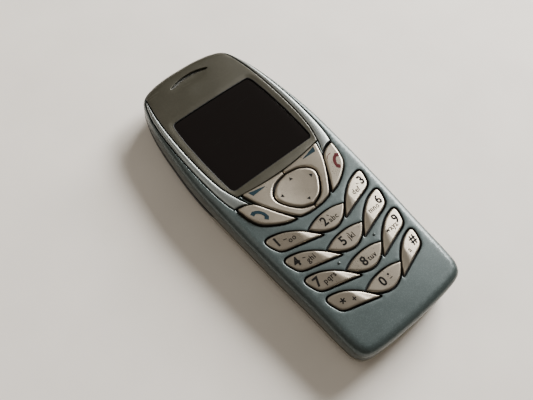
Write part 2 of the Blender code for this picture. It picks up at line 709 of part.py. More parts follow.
def dome_sheet():
    outline = rounded_box((-MAT_HALF, MAT_LOW_Y), (MAT_HALF, MAT_HIGH_Y), 3.0)
    sheet = placed("dome_sheet", solid(outline, DOME_Z, DOME_Z + DOME_SHEET), METAL)
    for x, y in dome_points():
        middle = DOME_Z + DOME_SHEET / 2 + DOME_HEIGHT / 2
        dome = cylinder((x, y, middle), 1.1, DOME_HEIGHT + DOME_SHEET, segments=8, tip=0.5)
        boolean(sheet, dome, "UNION")


# ---------------------------------------------------------------- the chassis and what it holds


def chassis():
    plate = placed("chassis", solid(inset(SIDE_WALL + FIT), PLATE_Z, PLATE_Z + PLATE_THICK), DARK)
    flange = solid(inset(FLANGE_INSET), PLATE_Z - FLANGE_DROP, PLATE_Z - FLANGE_DROP + FLANGE_THICK)
    boolean(plate, flange, "UNION")
    boolean(plate, solid(inset(FLANGE_WIDE), PLATE_Z - 2, PLATE_Z))
    housing = solid(inset(HOUSING_RECESS), HOUSING_LOW, HOUSING_HIGH)
    bmesh.ops.bisect_plane(housing, geom=[*housing.verts, *housing.edges, *housing.faces],
                           plane_co=(0, -END_Y + HOUSING_DEEP, 0), plane_no=(0, 1, 0), clear_outer=True)
    bmesh.ops.holes_fill(housing, edges=[e for e in housing.edges if e.is_boundary])
    for side in (-1, 1):
        edge = (side * HOUSING_HALF, 0, 0)
        bmesh.ops.bisect_plane(housing, geom=[*housing.verts, *housing.edges, *housing.faces],
                               plane_co=edge, plane_no=(side, 0, 0), clear_outer=True)
        bmesh.ops.holes_fill(housing, edges=[e for e in housing.edges if e.is_boundary])
    boolean(plate, cleaned(housing), "UNION")
    for side in (-1, 1):
        near, far = BATTERY_WIDTH / 2 + FIT, BATTERY_WIDTH / 2 + FIT + BAY_WALL
        low = (min(side * near, side * far), BATTERY_LOW_Y + 2, BATTERY_Z + 1.2)
        high = (max(side * near, side * far), BATTERY_LOW_Y + BATTERY_LENGTH - 4, PLATE_Z + 0.2)
        boolean(plate, box(low, high), "UNION")
    width, length, thick = SIM_SIZE
    boolean(plate, box((-width / 2 - FIT, SIM_Y - length / 2 - FIT, PLATE_Z - 1),
                       (width / 2 + FIT, SIM_Y + length / 2 + FIT, PLATE_Z + 2)))
    for x, y in screw_points():
        boolean(plate, cylinder((x, y, PLATE_Z), SCREW_SHANK + 0.2, 6.0, segments=12))
    boolean(plate, cylinder((CHARGER_X, -END_Y + 2, CHARGER_Z), CHARGER_RADIUS + FIT, 12.0, "Y", 24))
    boolean(plate, port_box(FIT, -END_Y - 3, -END_Y + HOUSING_DEEP + 3))
    boolean(plate, cylinder((MICROPHONE_X, -END_Y + 2, CHARGER_Z), MICROPHONE_RADIUS + FIT, 12.0, "Y", 16))
    return plate


def port_box(grow, low_y, high_y):
    width, deep, high = PORT_SIZE
    return box((PORT_X - width / 2 - grow, low_y, CHARGER_Z - high / 2 - grow),
               (PORT_X + width / 2 + grow, high_y, CHARGER_Z + high / 2 + grow))


def lower_end():
    face = -END_Y + HOUSING_RECESS
    length = HOUSING_DEEP - HOUSING_RECESS - 0.2
    middle = face + 0.5 + length / 2
    charger = placed("charger_socket", cylinder((CHARGER_X, middle, CHARGER_Z), CHARGER_RADIUS, length, "Y", 24), METAL,
                     (CHARGER_X, middle, CHARGER_Z))
    boolean(charger, cylinder((CHARGER_X, middle - 0.8, CHARGER_Z), CHARGER_BORE, length, "Y", 24))
    pin = cylinder((CHARGER_X, middle + 0.2, CHARGER_Z), CHARGER_PIN, length - 0.6, "Y", 10)
    boolean(charger, pin, "UNION")
    low_y = face + 0.5
    connector = placed("system_connector", port_box(0, low_y, low_y + PORT_SIZE[1]), DARK)
    width, deep, high = PORT_SIZE
    boolean(connector, box((PORT_X - width / 2 + 0.5, low_y - 1, CHARGER_Z - high / 2 + 0.5),
                           (PORT_X + width / 2 - 0.5, low_y + 3.2, CHARGER_Z + high / 2 - 0.5)))
    tongue = box((PORT_X - width / 2 + 1.6, low_y + 0.3, CHARGER_Z - 0.4),
                 (PORT_X + width / 2 - 1.6, low_y + 3.6, CHARGER_Z + 0.4))
    boolean(connector, tongue, "UNION")
    boot = cylinder((MICROPHONE_X, low_y + 1.6, CHARGER_Z), MICROPHONE_RADIUS, 3.2, "Y", 16)
    item = placed("microphone_boot", boot, RUBBER)
    boolean(item, cylinder((MICROPHONE_X, low_y, CHARGER_Z), MICROPHONE_HOLE, 2.4, "Y", 10))


def circuit_board():
    outline = [(x, y) for x, y in inset(SIDE_WALL + 1.0)]
    board = placed("circuit_board", solid(outline, BOARD_Z, BOARD_TOP), BOARD)
    lower = -END_Y + HOUSING_DEEP + FIT
    boolean(board, box((-HALF_WIDTH, -END_Y, BOARD_Z - 1), (HALF_WIDTH, lower, BOARD_TOP + 1)))
    boolean(board, box((-POWER_HALF - 2, SWITCH_Y, BOARD_Z - 1), (POWER_HALF + 2, END_Y, BOARD_TOP + 1)))
    for x, y in screw_points():
        boolean(board, cylinder((x, y, BOARD_Z), SCREW_SHANK + 0.3, 6.0, segments=12))
    return board


def shields():
    for name, (low, high) in (("rf_shield", RF_SHIELD_Y), ("baseband_shield", BASE_SHIELD_Y)):
        start = (-SHIELD_WIDTH / 2, low, SHIELD_Z)
        end = (SHIELD_WIDTH / 2, high, SHIELD_Z + SHIELD_HEIGHT)
        can = placed(name, softened(box(start, end), 0.2), METAL)
        boolean(can, box((start[0] + 0.25, low + 0.25, SHIELD_Z + 0.25), (end[0] - 0.25, high - 0.25, BOARD_Z + 1)))


def display():
    start = (-DISPLAY_WIDTH / 2 - 0.1, DISPLAY_LOW_Y - 0.1)
    end = (DISPLAY_WIDTH / 2 + 0.1, DISPLAY_LOW_Y + DISPLAY_LENGTH + 0.1)
    outer = rounded_box((start[0] - FRAME_BORDER, start[1] - FRAME_BORDER),
                        (end[0] + FRAME_BORDER, end[1] + FRAME_BORDER), 0.8)
    low = BOARD_TOP + STACK_GAP
    frame = placed("display_frame", solid(outer, low, low + FRAME_HIGH), WHITE)
    boolean(frame, box((*start, low + FRAME_FLOOR), (*end, low + 5)))
    glass = rounded_box((-DISPLAY_WIDTH / 2, DISPLAY_LOW_Y), (DISPLAY_WIDTH / 2, DISPLAY_LOW_Y + DISPLAY_LENGTH), 0.6)
    placed("display_module", solid(glass, DISPLAY_Z, DISPLAY_Z + DISPLAY_THICK), GLASS)


def earpiece():
    width, length, high = EARPIECE_SIZE
    low = BOARD_TOP + STACK_GAP
    outline = rounded_box((-width / 2, SLOT_Y - length / 2), (width / 2, SLOT_Y + length / 2), length * 0.45, 5)
    made = placed("earpiece", softened(solid(outline, low, low + high), 0.2), METAL)
    inner = offset(outline, -0.8)
    boolean(made, solid(inner, low + high - 0.25, low + high + 1))
    mesh_z = face_height(0, SLOT_Y) - FACE_WALL + 0.15
    reach = EAR_SLOT_HALF - 1 - 0.2
    placed("earpiece_mesh", box((-reach, SLOT_Y - 0.7, mesh_z), (reach, SLOT_Y + 0.7, mesh_z + 0.2)), METAL)


def rear_parts():
    width, length, high = ANTENNA_SIZE
    y = END_Y - ANTENNA_FROM_END
    antenna = placed("antenna_module", softened(box((-width / 2, y - length / 2, COVER_FLOOR + 0.3),
                                                    (width / 2, y + length / 2, COVER_FLOOR + 0.3 + high)), 0.4), WHITE)
    boolean(antenna, box((-width / 2 + 1, y - length / 2 + 1, COVER_FLOOR + 1.1),
                         (width / 2 - 1, y + length / 2 - 1, COVER_FLOOR + 2 + high)))
    x, y = SPEAKER_AT
    low = PLATE_Z - FIT - SPEAKER_HIGH
    buzzer = placed("buzzer", softened(cylinder((x, y, low + SPEAKER_HIGH / 2), SPEAKER_RADIUS, SPEAKER_HIGH,
                                                segments=28), 0.3), DARK)
    boolean(buzzer, cylinder((x, y, low), 1.0, 1.2, segments=14))
    x, y = MOTOR_AT
    z = PLATE_Z - FIT - MOTOR_RADIUS
    motor = cylinder((x, y, z), MOTOR_RADIUS, MOTOR_LENGTH, "X", 20)
    placed("vibration_motor", softened(motor, 0.25), METAL, (x, y, z))
    near = x + MOTOR_LENGTH / 2 + 0.3
    middle = near + 1.0 + WEIGHT_LENGTH / 2
    weight = placed("vibration_weight", cylinder((middle, y, z), WEIGHT_RADIUS, WEIGHT_LENGTH, "X", 20), METAL,
                    (near, y, z))
    boolean(weight, box((near - 1, y - 3, z + MOTOR_SHAFT * 0.6), (near + 9, y + 3, z + 4)))
    shaft_end = middle + WEIGHT_LENGTH / 2 + 0.4
    boolean(weight, cylinder(((near + shaft_end) / 2, y, z), MOTOR_SHAFT, shaft_end - near, "X", 10), "UNION")


def battery_and_card():
    high_y = BATTERY_LOW_Y + BATTERY_LENGTH
    outline = rounded_box((-BATTERY_WIDTH / 2, BATTERY_LOW_Y), (BATTERY_WIDTH / 2, high_y), BATTERY_ROUND)
    pack = placed("battery", softened(solid(outline, BATTERY_Z, BATTERY_Z + BATTERY_THICK), 0.3), DARK)
    for x in (CONTACT_X - 2.6, CONTACT_X, CONTACT_X + 2.6):
        boolean(pack, box((x - 0.8, high_y - 0.4, BATTERY_Z + 1.2), (x + 0.8, high_y + 1, BATTERY_Z + 3.4)))
    width, length, high = CONTACT_SIZE
    low = (CONTACT_X - width / 2, high_y + FIT, PLATE_Z - FIT - high)
    block = placed("battery_contacts", softened(box(low, (low[0] + width, low[1] + length, low[2] + high)), 0.2), GOLD)
    for x in (CONTACT_X - 1.3, CONTACT_X + 1.3):
        boolean(block, box((x - 0.25, low[1] - 1, low[2] - 1), (x + 0.25, low[1] + 1.5, low[2] + high - 0.6)))
    width, length, thick = SIM_SIZE
    cut = 3.0
    card = [(-width / 2, SIM_Y - length / 2), (width / 2 - cut, SIM_Y - length / 2),
            (width / 2, SIM_Y - length / 2 + cut), (width / 2, SIM_Y + length / 2), (-width / 2, SIM_Y + length / 2)]
    placed("sim_card", solid(card, PLATE_Z, PLATE_Z + thick), WHITE)
    base_z = PLATE_Z + thick + STACK_GAP
    base = placed("sim_base", box((-width / 2 + 1, SIM_Y - length / 2 + 0.6, base_z),
                                  (width / 2 - 1, SIM_Y + length / 2 - 0.6, BOARD_Z - STACK_GAP)), DARK)
    for x in (-3.8, 3.8):
        for y in (-2.54, 0.0, 2.54):
            pad = box((x - 1.2, SIM_Y + y - 0.6, base_z - 1), (x + 1.2, SIM_Y + y + 0.6, base_z + 0.3))
            boolean(base, pad)


def screws():
    for number, (x, y) in enumerate(screw_points(), 1):
        head_top = PLATE_Z - 0.1
        low = head_top - SCREW_HEAD_HIGH
        top = face_height(x, y) - FACE_WALL - 0.5
        head = cylinder((x, y, (low + head_top) / 2), SCREW_HEAD, SCREW_HEAD_HIGH, segments=16)
        item = placed(f"screw_{number}", softened(head, 0.15), METAL, (x, y, head_top))
        boolean(item, cylinder((x, y, (head_top + top) / 2 - 0.1), SCREW_SHANK, top - head_top + 0.2, segments=12),
                "UNION")
        for turn in (0, 90):
            long, short = (1.4, 0.28) if turn else (0.28, 1.4)
            boolean(item, box((x - long / 2, y - short / 2, low - 1), (x + long / 2, y + short / 2, low + 0.35)))


def power_parts():
    switch_z = PLATE_Z + PLATE_THICK + STACK_GAP
    width, length, high = SWITCH_SIZE
    placed("power_switch", softened(box((-width / 2, SWITCH_Y - length, switch_z),
                                        (width / 2, SWITCH_Y, switch_z + high)), 0.15), METAL)
    wall = END_Y - SIDE_WALL
    cap = power_box(0, wall - 0.5, END_Y + POWER_PROUD)
    key = placed("power_key", softened(cap, 0.2), DARK, (0, END_Y, POWER_Z + POWER_HIGH / 2))
    flange = power_flange(0, 0.65)
    boolean(key, flange, "UNION")
    stem_wide, stem_high = POWER_STEM
    stem_z = switch_z + high / 2
    stem = box((-stem_wide / 2, SWITCH_Y + POWER_TRAVEL + 0.15, stem_z - stem_high / 2),
               (stem_wide / 2, wall - 0.6, stem_z + stem_high / 2))
    boolean(key, stem, "UNION")


# ---------------------------------------------------------------- the back


def rear_skin():
    rings = [[(x, y, z) for x, y in inset(inward)] for z, inward in REAR_SECTION]
    return loft([*rings, [(x, y, RIM_Z) for x, y in inset(0.0)]])


def rear_inside():
    """The rear shell's hollow: straight walls that stay clear of the battery bay."""
    rings = [[(x, y, z) for x, y in inset(inward + REAR_WALL)] for z, inward in REAR_SECTION if z > COVER_FLOOR]
    first = [(x, y, COVER_FLOOR) for x, y in inset(REAR_SECTION[2][1] + REAR_WALL)]
    return loft([first, *rings, [(x, y, RIM_Z + 3) for x, y in inset(REAR_WALL)]])


def below_seam(gap):
    """All that lies under the sloped seam between the rear cover and the antenna cover, moved along by a gap."""
    front, back = SEAM_FRONT_Y + gap, SEAM_BACK_Y + gap
    slope = (back - front) / RIM_Z
    wedge = [(-END_Y - 5, -2.0), (back + 2 * slope, -2.0), (front - 3 * slope, RIM_Z + 3), (-END_Y - 5, RIM_Z + 3)]
    wide = HALF_WIDTH + 5
    return loft([[(x, y, z) for y, z in wedge] for x in (-wide, wide)])


def rear_cover():
    cover = placed("rear_cover", rear_skin(), REAR)
    boolean(cover, rear_inside())
    boolean(cover, below_seam(-SEAM_GAP / 2), "INTERSECT")
    boolean(cover, housing_box(FIT))
    boolean(cover, box((-TONGUE_HALF, SEAM_BACK_Y - 8, COVER_FLOOR - TONGUE_THICK),
                       (TONGUE_HALF, SEAM_BACK_Y + 0.4, COVER_FLOOR)), "UNION")
    return cover


def antenna_cover():
    cover = placed("antenna_cover", rear_skin(), DARK)
    boolean(cover, rear_inside())
    boolean(cover, below_seam(SEAM_GAP / 2))
    boolean(cover, box((-TONGUE_HALF - FIT, SEAM_BACK_Y - 8, -1), (TONGUE_HALF + FIT, SEAM_BACK_Y + 0.4 + FIT, 3)))
    half_x, half_y = BUTTON_HALF
    opening = rounded_box((-half_x - FIT, BUTTON_AT_Y - half_y - FIT), (half_x + FIT, BUTTON_AT_Y + half_y + FIT),
                          half_y, 4)
    boolean(cover, solid(opening, -1, COVER_FLOOR + 1))
    return cover


def release_parts():
    half_x, half_y = BUTTON_HALF
    cap = rounded_box((-half_x, BUTTON_AT_Y - half_y), (half_x, BUTTON_AT_Y + half_y), half_y * 0.98, 4)
    flange_z = COVER_FLOOR + 0.2
    button = placed("cover_release_button", softened(solid(cap, 0.2, flange_z + 0.2), 0.15), DARK,
                    (0, BUTTON_AT_Y, 0.2))
    wide = rounded_box((-half_x - BUTTON_FLANGE, BUTTON_AT_Y - half_y - 0.8),
                       (half_x + BUTTON_FLANGE, BUTTON_AT_Y + half_y + 0.8), half_y, 4)
    boolean(button, solid(wide, flange_z, flange_z + 0.5), "UNION")
    length, width, thick = SPRING_LEAF
    z = flange_z + 0.5 + BUTTON_TRAVEL + 0.3
    leaf = placed("release_spring", box((-length / 2, BUTTON_AT_Y - width / 2, z), (length / 2, BUTTON_AT_Y + width / 2,
                                                                                    z + thick)), METAL)
    for side in (-1, 1):
        x = side * (length / 2 - 0.6)
        boolean(leaf, box((x - 0.6, BUTTON_AT_Y - width / 2, z + thick / 2), (x + 0.6, BUTTON_AT_Y + width / 2, z + 1.4)),
                "UNION")


front_cover()
display_window()
trims()
keys()
navigation_key()
keypad_mat()
dome_sheet()
chassis()
lower_end()
circuit_board()
shields()
display()
earpiece()
rear_parts()
battery_and_card()
screws()
power_parts()
rear_cover()
antenna_cover()
release_parts()
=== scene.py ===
# %% [markdown]
# # A slim bar phone in Blender
# The phone is a small pocket mobile of the early 2000s: a painted two-part case, a gunmetal window plate, silver
# trims and wing-shaped keys. The engineering model is loaded first and gives every place and size. This lesson then
# builds the fine outer surfaces round it, piece by piece, and gives every piece a procedural finish.

# %% Load the engineering model
import math

import bmesh
import bpy
import numpy as np
from mathutils import Matrix, Vector, geometry
from mathutils.bvhtree import BVHTree


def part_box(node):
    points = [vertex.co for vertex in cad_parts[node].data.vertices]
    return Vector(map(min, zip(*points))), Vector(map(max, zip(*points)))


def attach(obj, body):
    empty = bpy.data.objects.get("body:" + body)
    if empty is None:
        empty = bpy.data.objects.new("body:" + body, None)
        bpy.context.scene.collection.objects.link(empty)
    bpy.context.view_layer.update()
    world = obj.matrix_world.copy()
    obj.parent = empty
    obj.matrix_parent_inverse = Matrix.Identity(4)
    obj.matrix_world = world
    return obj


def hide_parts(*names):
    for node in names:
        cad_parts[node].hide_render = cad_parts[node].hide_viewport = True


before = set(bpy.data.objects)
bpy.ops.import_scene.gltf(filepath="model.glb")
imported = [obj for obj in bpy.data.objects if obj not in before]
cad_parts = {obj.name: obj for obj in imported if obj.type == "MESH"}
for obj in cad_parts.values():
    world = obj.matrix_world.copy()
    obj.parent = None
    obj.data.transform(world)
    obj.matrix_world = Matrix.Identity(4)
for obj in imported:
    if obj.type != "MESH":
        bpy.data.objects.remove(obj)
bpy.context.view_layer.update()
MM = 0.001

# %% [markdown]
# ## The camera
# The phone lies on its back and is seen from above and from its lower left, as a person at a table would see it.
# The lens is a little longer than normal, so the far end looks slightly smaller.

# %% Camera
CAMERA_PLACE = (-0.07858, -0.05796, 0.17795)
CAMERA_TURN = (28.137, -4.950, -41.145)
FOCAL_LENGTH = 46.2
lens = bpy.data.cameras.new("camera")
lens.lens = FOCAL_LENGTH
lens.sensor_width = 36.0
lens.clip_start = 0.01
camera = bpy.data.objects.new("camera", lens)
camera.location = CAMERA_PLACE
camera.rotation_euler = [math.radians(a) for a in CAMERA_TURN]
bpy.context.scene.collection.objects.link(camera)
bpy.context.scene.camera = camera

# %% [markdown]
# ## Sizes
# Everything on the face follows one crowned surface, so its few sizes are named here, in millimetres. The places of
# the layers are read from the engineering model, which keeps both models together when a size changes.


# %% Sizes of the case
def low_mm(node):
    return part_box(node)[0] / MM


def high_mm(node):
    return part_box(node)[1] / MM


HALF_WIDTH = high_mm("front_cover").x
END_Y = high_mm("front_cover").y
LIP_Z = low_mm("front_cover").z
RIM_Z = high_mm("rear_cover").z
CROWN_END, CROWN_SIDE = 0.9, 0.3
EDGE_ROUND = 2.2
CAP_Z = low_mm("nav_key").z
FACE_Z = high_mm("nav_key").z - 0.7 + 0.01
KEY_PROUD, NAV_PROUD = 0.6, 0.7
KEY_GAP, NAV_GAP = 0.4, 0.55
WALL = 1.2
print("case", HALF_WIDTH * 2, END_Y * 2, "face at", round(FACE_Z, 2))

# %% [markdown]
# ## Smooth lines
# A designer draws the case and the keys with a few points and a smooth line through them. The same idea works here:
# a Catmull-Rom curve passes through every given point, and many short steps make it look round.


# %% Line helpers
def smooth_line(points, steps=8):
    """A smooth open line through the points."""
    p = np.array(points, float)
    p = np.vstack([2 * p[0] - p[1], p, 2 * p[-1] - p[-2]])
    t = np.linspace(0, 1, steps, endpoint=False)[:, None]
    runs = []
    for a, b, c, d in zip(p, p[1:], p[2:], p[3:]):
        runs.append((2 * b + (c - a) * t + (2 * a - 5 * b + 4 * c - d) * t**2 + (3 * b - a - 3 * c + d) * t**3) / 2)
    return np.vstack([*runs, p[-2:-1]])


def even_line(line, count, gather=0.0):
    """The line again with count points, evenly spaced or gathered towards its two ends."""
    line = np.asarray(line, float)
    run = np.concatenate([[0], np.cumsum(np.linalg.norm(np.diff(line, axis=0), axis=1))])
    share = np.linspace(0, 1, count)
    share = share * (1 - gather) + (1 - np.cos(math.pi * share)) / 2 * gather
    return np.column_stack([np.interp(share * run[-1], run, line[:, k]) for k in range(line.shape[1])])


def loop(*lines):
    """One closed outline from lines that meet end to end."""
    return np.vstack([line[:-1] for line in lines])


def flipped(line):
    """The line on the phone's other side."""
    return np.asarray(line)[::-1] * (-1, 1)


def signed_area(outline):
    x, y = np.asarray(outline).T
    return float(np.sum(x * np.roll(y, -1) - np.roll(x, -1) * y)) / 2


def grown(outline, distance):
    """The outline grown by a distance, or shrunk by a negative one."""
    p = np.asarray(outline, float)
    back = p - np.roll(p, 1, 0)
    ahead = np.roll(p, -1, 0) - p
    back /= np.linalg.norm(back, axis=1)[:, None] + 1e-12
    ahead /= np.linalg.norm(ahead, axis=1)[:, None] + 1e-12
    side = 1 if signed_area(p) > 0 else -1
    normal = side * np.column_stack([back[:, 1] + ahead[:, 1], -back[:, 0] - ahead[:, 0]])
    normal /= np.linalg.norm(normal, axis=1)[:, None] + 1e-12
    lean = side * (normal[:, 0] * back[:, 1] - normal[:, 1] * back[:, 0])
    return p + normal * (distance * np.minimum(1.6, 1 / np.maximum(0.3, lean)))[:, None]


def densified(line, step):
    line = np.asarray(line, float)
    length = np.linalg.norm(np.diff(np.vstack([line, line[:1]]), axis=0), axis=1).sum()
    return even_line(np.vstack([line, line[:1]]), max(8, int(length / step)) + 1)[:-1]


def eased(outline, rounds=6, step=0.16):
    """The outline again with even points and slightly rounded tips."""
    line = densified(outline, step)
    for _ in range(rounds):
        line = line / 2 + (np.roll(line, 1, 0) + np.roll(line, -1, 0)) / 4
    return line


def distance_to(points, starts, ends):
    """How far each point is from the nearest of many straight pieces."""
    points = np.asarray(points, float)[:, :2]
    found = np.full(len(points), 1e9)
    run = ends - starts
    length = (run**2).sum(1) + 1e-18
    for k in range(0, len(points), 400):
        gap = points[k:k + 400, None, :] - starts[None]
        share = np.clip((gap * run).sum(2) / length, 0, 1)
        found[k:k + 400] = np.linalg.norm(gap - share[..., None] * run, axis=2).min(1)
    return found


def outline_distance(points, outline):
    outline = np.asarray(outline, float)
    return distance_to(points, outline, np.roll(outline, -1, 0))


def inside(points, outline):
    """Which of the points lie inside the outline."""
    x, y = np.asarray(points, float)[:, :2].T
    result = np.zeros(len(x), bool)
    outline = np.asarray(outline, float)
    for (x0, y0), (x1, y1) in zip(outline, np.roll(outline, -1, 0)):
        if y0 == y1:
            continue
        crosses = ((y0 > y) != (y1 > y)) & (x < (x1 - x0) * (y - y0) / (y1 - y0) + x0)
        result ^= crosses
    return result


def soft_step(value):
    value = np.clip(value, 0, 1)
    return value * value * (3 - 2 * value)


# %% [markdown]
# ## The case's outline and its crowned face
# The case is widest above the middle and tapers to both ends. The face is a very shallow dome, with its edges
# rounded over. Two small functions give the height of that skin anywhere, and all the pieces of the face use them.

# %% Outline and skin
HALF_CASE = [(0.0, -END_Y), (HALF_WIDTH * 0.45, -END_Y + 0.3), (HALF_WIDTH - 5.4, -END_Y + 1.2),
             (HALF_WIDTH - 2.9, -END_Y + 3.4), (HALF_WIDTH - 2.1, -END_Y + 7.5), (HALF_WIDTH - 1.6, -END_Y + 20.0),
             (HALF_WIDTH - 0.7, -END_Y + 36.0), (HALF_WIDTH, 12.0), (HALF_WIDTH - 1.1, END_Y - 24.0),
             (HALF_WIDTH - 2.6, END_Y - 14.0), (HALF_WIDTH - 4.4, END_Y - 7.6), (HALF_WIDTH - 6.6, END_Y - 3.1),
             (HALF_WIDTH - 10.5, END_Y - 1.1), (HALF_WIDTH * 0.25, END_Y - 0.15), (0.0, END_Y)]
half_case = even_line(smooth_line(HALF_CASE, 12), 170)
CASE = loop(half_case, flipped(half_case))


def inset(distance):
    """The case's outline drawn in by a distance at its sides and ends."""
    return CASE * (1 - distance / HALF_WIDTH, 1 - distance / END_Y)


def kept_inside(outline, distance):
    """The outline with every point at least a distance inside the case."""
    limit = densified(inset(distance), 0.05)
    outline = np.array(outline, float)
    for i in np.flatnonzero(~inside(outline, limit)):
        outline[i] = limit[((limit - outline[i]) ** 2).sum(1).argmin()]
    step = np.linalg.norm(outline - np.roll(outline, 1, 0), axis=1)
    return outline[step > 0.02]


def face_height(x, y):
    return FACE_Z - CROWN_END * (y / END_Y) ** 2 - CROWN_SIDE * (x / HALF_WIDTH) ** 2


def rounding(distance, radius):
    """How far a rounded edge drops at a distance from it."""
    gap = radius - np.clip(distance, 0, radius)
    return radius - np.sqrt(np.maximum(radius**2 - gap**2, 0))


def skin_height(x, y):
    points = np.column_stack([np.ravel(x), np.ravel(y)])
    return face_height(points[:, 0], points[:, 1]) - rounding(outline_distance(points, CASE), EDGE_ROUND)


print("outline points:", len(CASE))


# %% [markdown]
# ## Meshes from numbers
# Each shape below ends as a list of points and faces in millimetres. One helper turns that into a clean mesh object
# in metres, with its place in the mesh and the object at the origin.


# %% Mesh helpers
def shape(name, points, faces, material_of=None, merge=2e-4):
    """A mesh object from points in millimetres. material_of gives each face's material index."""
    made = bmesh.new()
    corners = [made.verts.new(p) for p in np.asarray(points, float).tolist()]
    for number, face in enumerate(faces):
        unique = list(dict.fromkeys(face))
        if len(unique) < 3:
            continue
        try:
            built = made.faces.new([corners[i] for i in unique])
        except ValueError:
            continue
        if material_of is not None:
            built.material_index = material_of[number]
    bmesh.ops.remove_doubles(made, verts=made.verts, dist=merge)
    bmesh.ops.dissolve_degenerate(made, edges=made.edges, dist=1e-5)
    bmesh.ops.recalc_face_normals(made, faces=made.faces)
    return from_bmesh(name, made)


def from_bmesh(name, made, smooth_angle=40):
    loose = [v for v in made.verts if not v.link_faces]
    bmesh.ops.delete(made, geom=loose, context="VERTS")
    bmesh.ops.scale(made, verts=made.verts, vec=(MM, MM, MM))
    mesh = bpy.data.meshes.new(name)
    made.to_mesh(mesh)
    made.free()
    mesh.shade_smooth()
    mesh.set_sharp_from_angle(angle=math.radians(smooth_angle))
    item = bpy.data.objects.new(name, mesh)
    bpy.context.scene.collection.objects.link(item)
    return item


def tidy_boolean(item, cutters, operation="DIFFERENCE"):
    """Cuts or keeps with other objects, then leaves one plain mesh."""
    for cutter in cutters:
        modifier = item.modifiers.new("cut", "BOOLEAN")
        modifier.operation = operation
        modifier.object = cutter
        modifier.solver = "EXACT"
    bpy.context.view_layer.update()
    graph = bpy.context.evaluated_depsgraph_get()
    mesh = bpy.data.meshes.new_from_object(item.evaluated_get(graph))
    item.modifiers.clear()
    item.data = mesh
    made = bmesh.new()
    made.from_mesh(mesh)
    bmesh.ops.triangulate(made, faces=[f for f in made.faces if len(f.verts) > 4])
    bmesh.ops.remove_doubles(made, verts=made.verts, dist=2e-6)
    bmesh.ops.dissolve_degenerate(made, edges=made.edges, dist=1e-6)
    made.to_mesh(mesh)
    made.free()
    mesh.set_sharp_from_angle(angle=math.radians(40))
    for cutter in cutters:
        bpy.data.objects.remove(cutter)
    return item


def block(low, high):
    made = bmesh.new()
    bmesh.ops.create_cube(made, size=1.0)
    for vert in made.verts:
        vert.co = [l + (h - l) * (c + 0.5) for l, h, c in zip(low, high, vert.co)]
    return from_bmesh("cutter", made)


def prism(outline, low, high):
    """A straight solid over an outline."""
    outline = np.asarray(outline)
    count = len(outline)
    points = [(x, y, z) for z in (low, high) for x, y in outline]
    faces = [list(range(count))[::-1], list(range(count, 2 * count))]
    faces += [[i, (i + 1) % count, count + (i + 1) % count, count + i] for i in range(count)]
    return shape("cutter", points, faces)


# %% [markdown]
# ## A sheet with holes
# The face has one large opening for the window and many for the keys. Cutting them with Booleans would leave long
# thin faces that shade badly. Instead the outlines and a fine lattice of points go to a constrained Delaunay
# triangulation, which makes even triangles that keep every outline. The height of each point then comes from the
# skin, less a small rounding beside each hole.


# %% Sheet builder
def flat_sheet(outer, holes, spacing, rims=(0.07, 0.16, 0.3), extra=()):
    """Points, triangles and rim edges of a flat sheet between an outline and its holes."""
    loops = [np.asarray(outer)] + [np.asarray(h) for h in holes]
    points, edges = [], []
    for line in loops:
        start = sum(len(p) for p in points)
        points.append(line)
        edges += [(start + i, start + (i + 1) % len(line)) for i in range(len(line))]
    low, high = loops[0].min(0), loops[0].max(0)
    columns = np.arange(low[0], high[0], spacing)
    rows = np.arange(low[1], high[1], spacing * 0.87)
    lattice = np.array([(x + (k % 2) * spacing / 2, y) for k, y in enumerate(rows) for x in columns])
    reach = rims[-1]
    near = [grown(hole, r) for hole in loops[1:] for r in rims]
    near += [grown(loops[0], -r) for r in rims]
    candidates = np.vstack([*near, *extra]) if near or len(extra) else np.zeros((0, 2))
    keep = inside(candidates, loops[0]) if len(candidates) else np.zeros(0, bool)
    for line in loops[1:]:
        if len(candidates):
            keep &= ~inside(candidates, line)
    candidates = candidates[keep]
    gap = np.full(len(candidates), 1e9)
    for line in loops:
        if len(candidates):
            gap = np.minimum(gap, outline_distance(candidates, line))
    candidates = candidates[gap > rims[0] * 0.75]
    keep = inside(lattice, loops[0])
    for line in loops[1:]:
        keep &= ~inside(lattice, line)
    lattice = lattice[keep]
    gap = np.full(len(lattice), 1e9)
    for line in loops:
        gap = np.minimum(gap, outline_distance(lattice, line))
    lattice = lattice[gap > reach + spacing * 0.35]
    chosen = [Vector(p) for p in np.vstack([*points, candidates, lattice])]
    made = geometry.delaunay_2d_cdt(chosen, edges, [], 0, 1e-5)
    flat = np.array([(v.x, v.y) for v in made[0]])
    faces = np.array([f for f in made[2] if len(f) == 3])
    middle = flat[faces].mean(1)
    keep = inside(middle, loops[0])
    for line in loops[1:]:
        keep &= ~inside(middle, line)
    faces = faces[keep]
    turned = np.cross(flat[faces[:, 1]] - flat[faces[:, 0]], flat[faces[:, 2]] - flat[faces[:, 0]]) < 0
    faces[turned] = faces[turned][:, ::-1]
    used = {}
    for a, b, c in faces.tolist():
        for edge in ((a, b), (b, c), (c, a)):
            used[edge] = used.get(edge, 0) + 1
    rim = [edge for edge in used if (edge[1], edge[0]) not in used]
    return flat, faces.tolist(), rim


def rim_rounding(flat, rim, radius, outer=None):
    """The drop beside the rim, leaving out the part of the rim that lies on the outer outline."""
    rim = np.array(rim)
    starts, ends = flat[rim[:, 0]], flat[rim[:, 1]]
    if outer is not None:
        on_outer = outline_distance((starts + ends) / 2, outer) < 0.02
        starts, ends = starts[~on_outer], ends[~on_outer]
    gap = distance_to(flat, starts, ends)
    return gap, rounding(gap, radius)


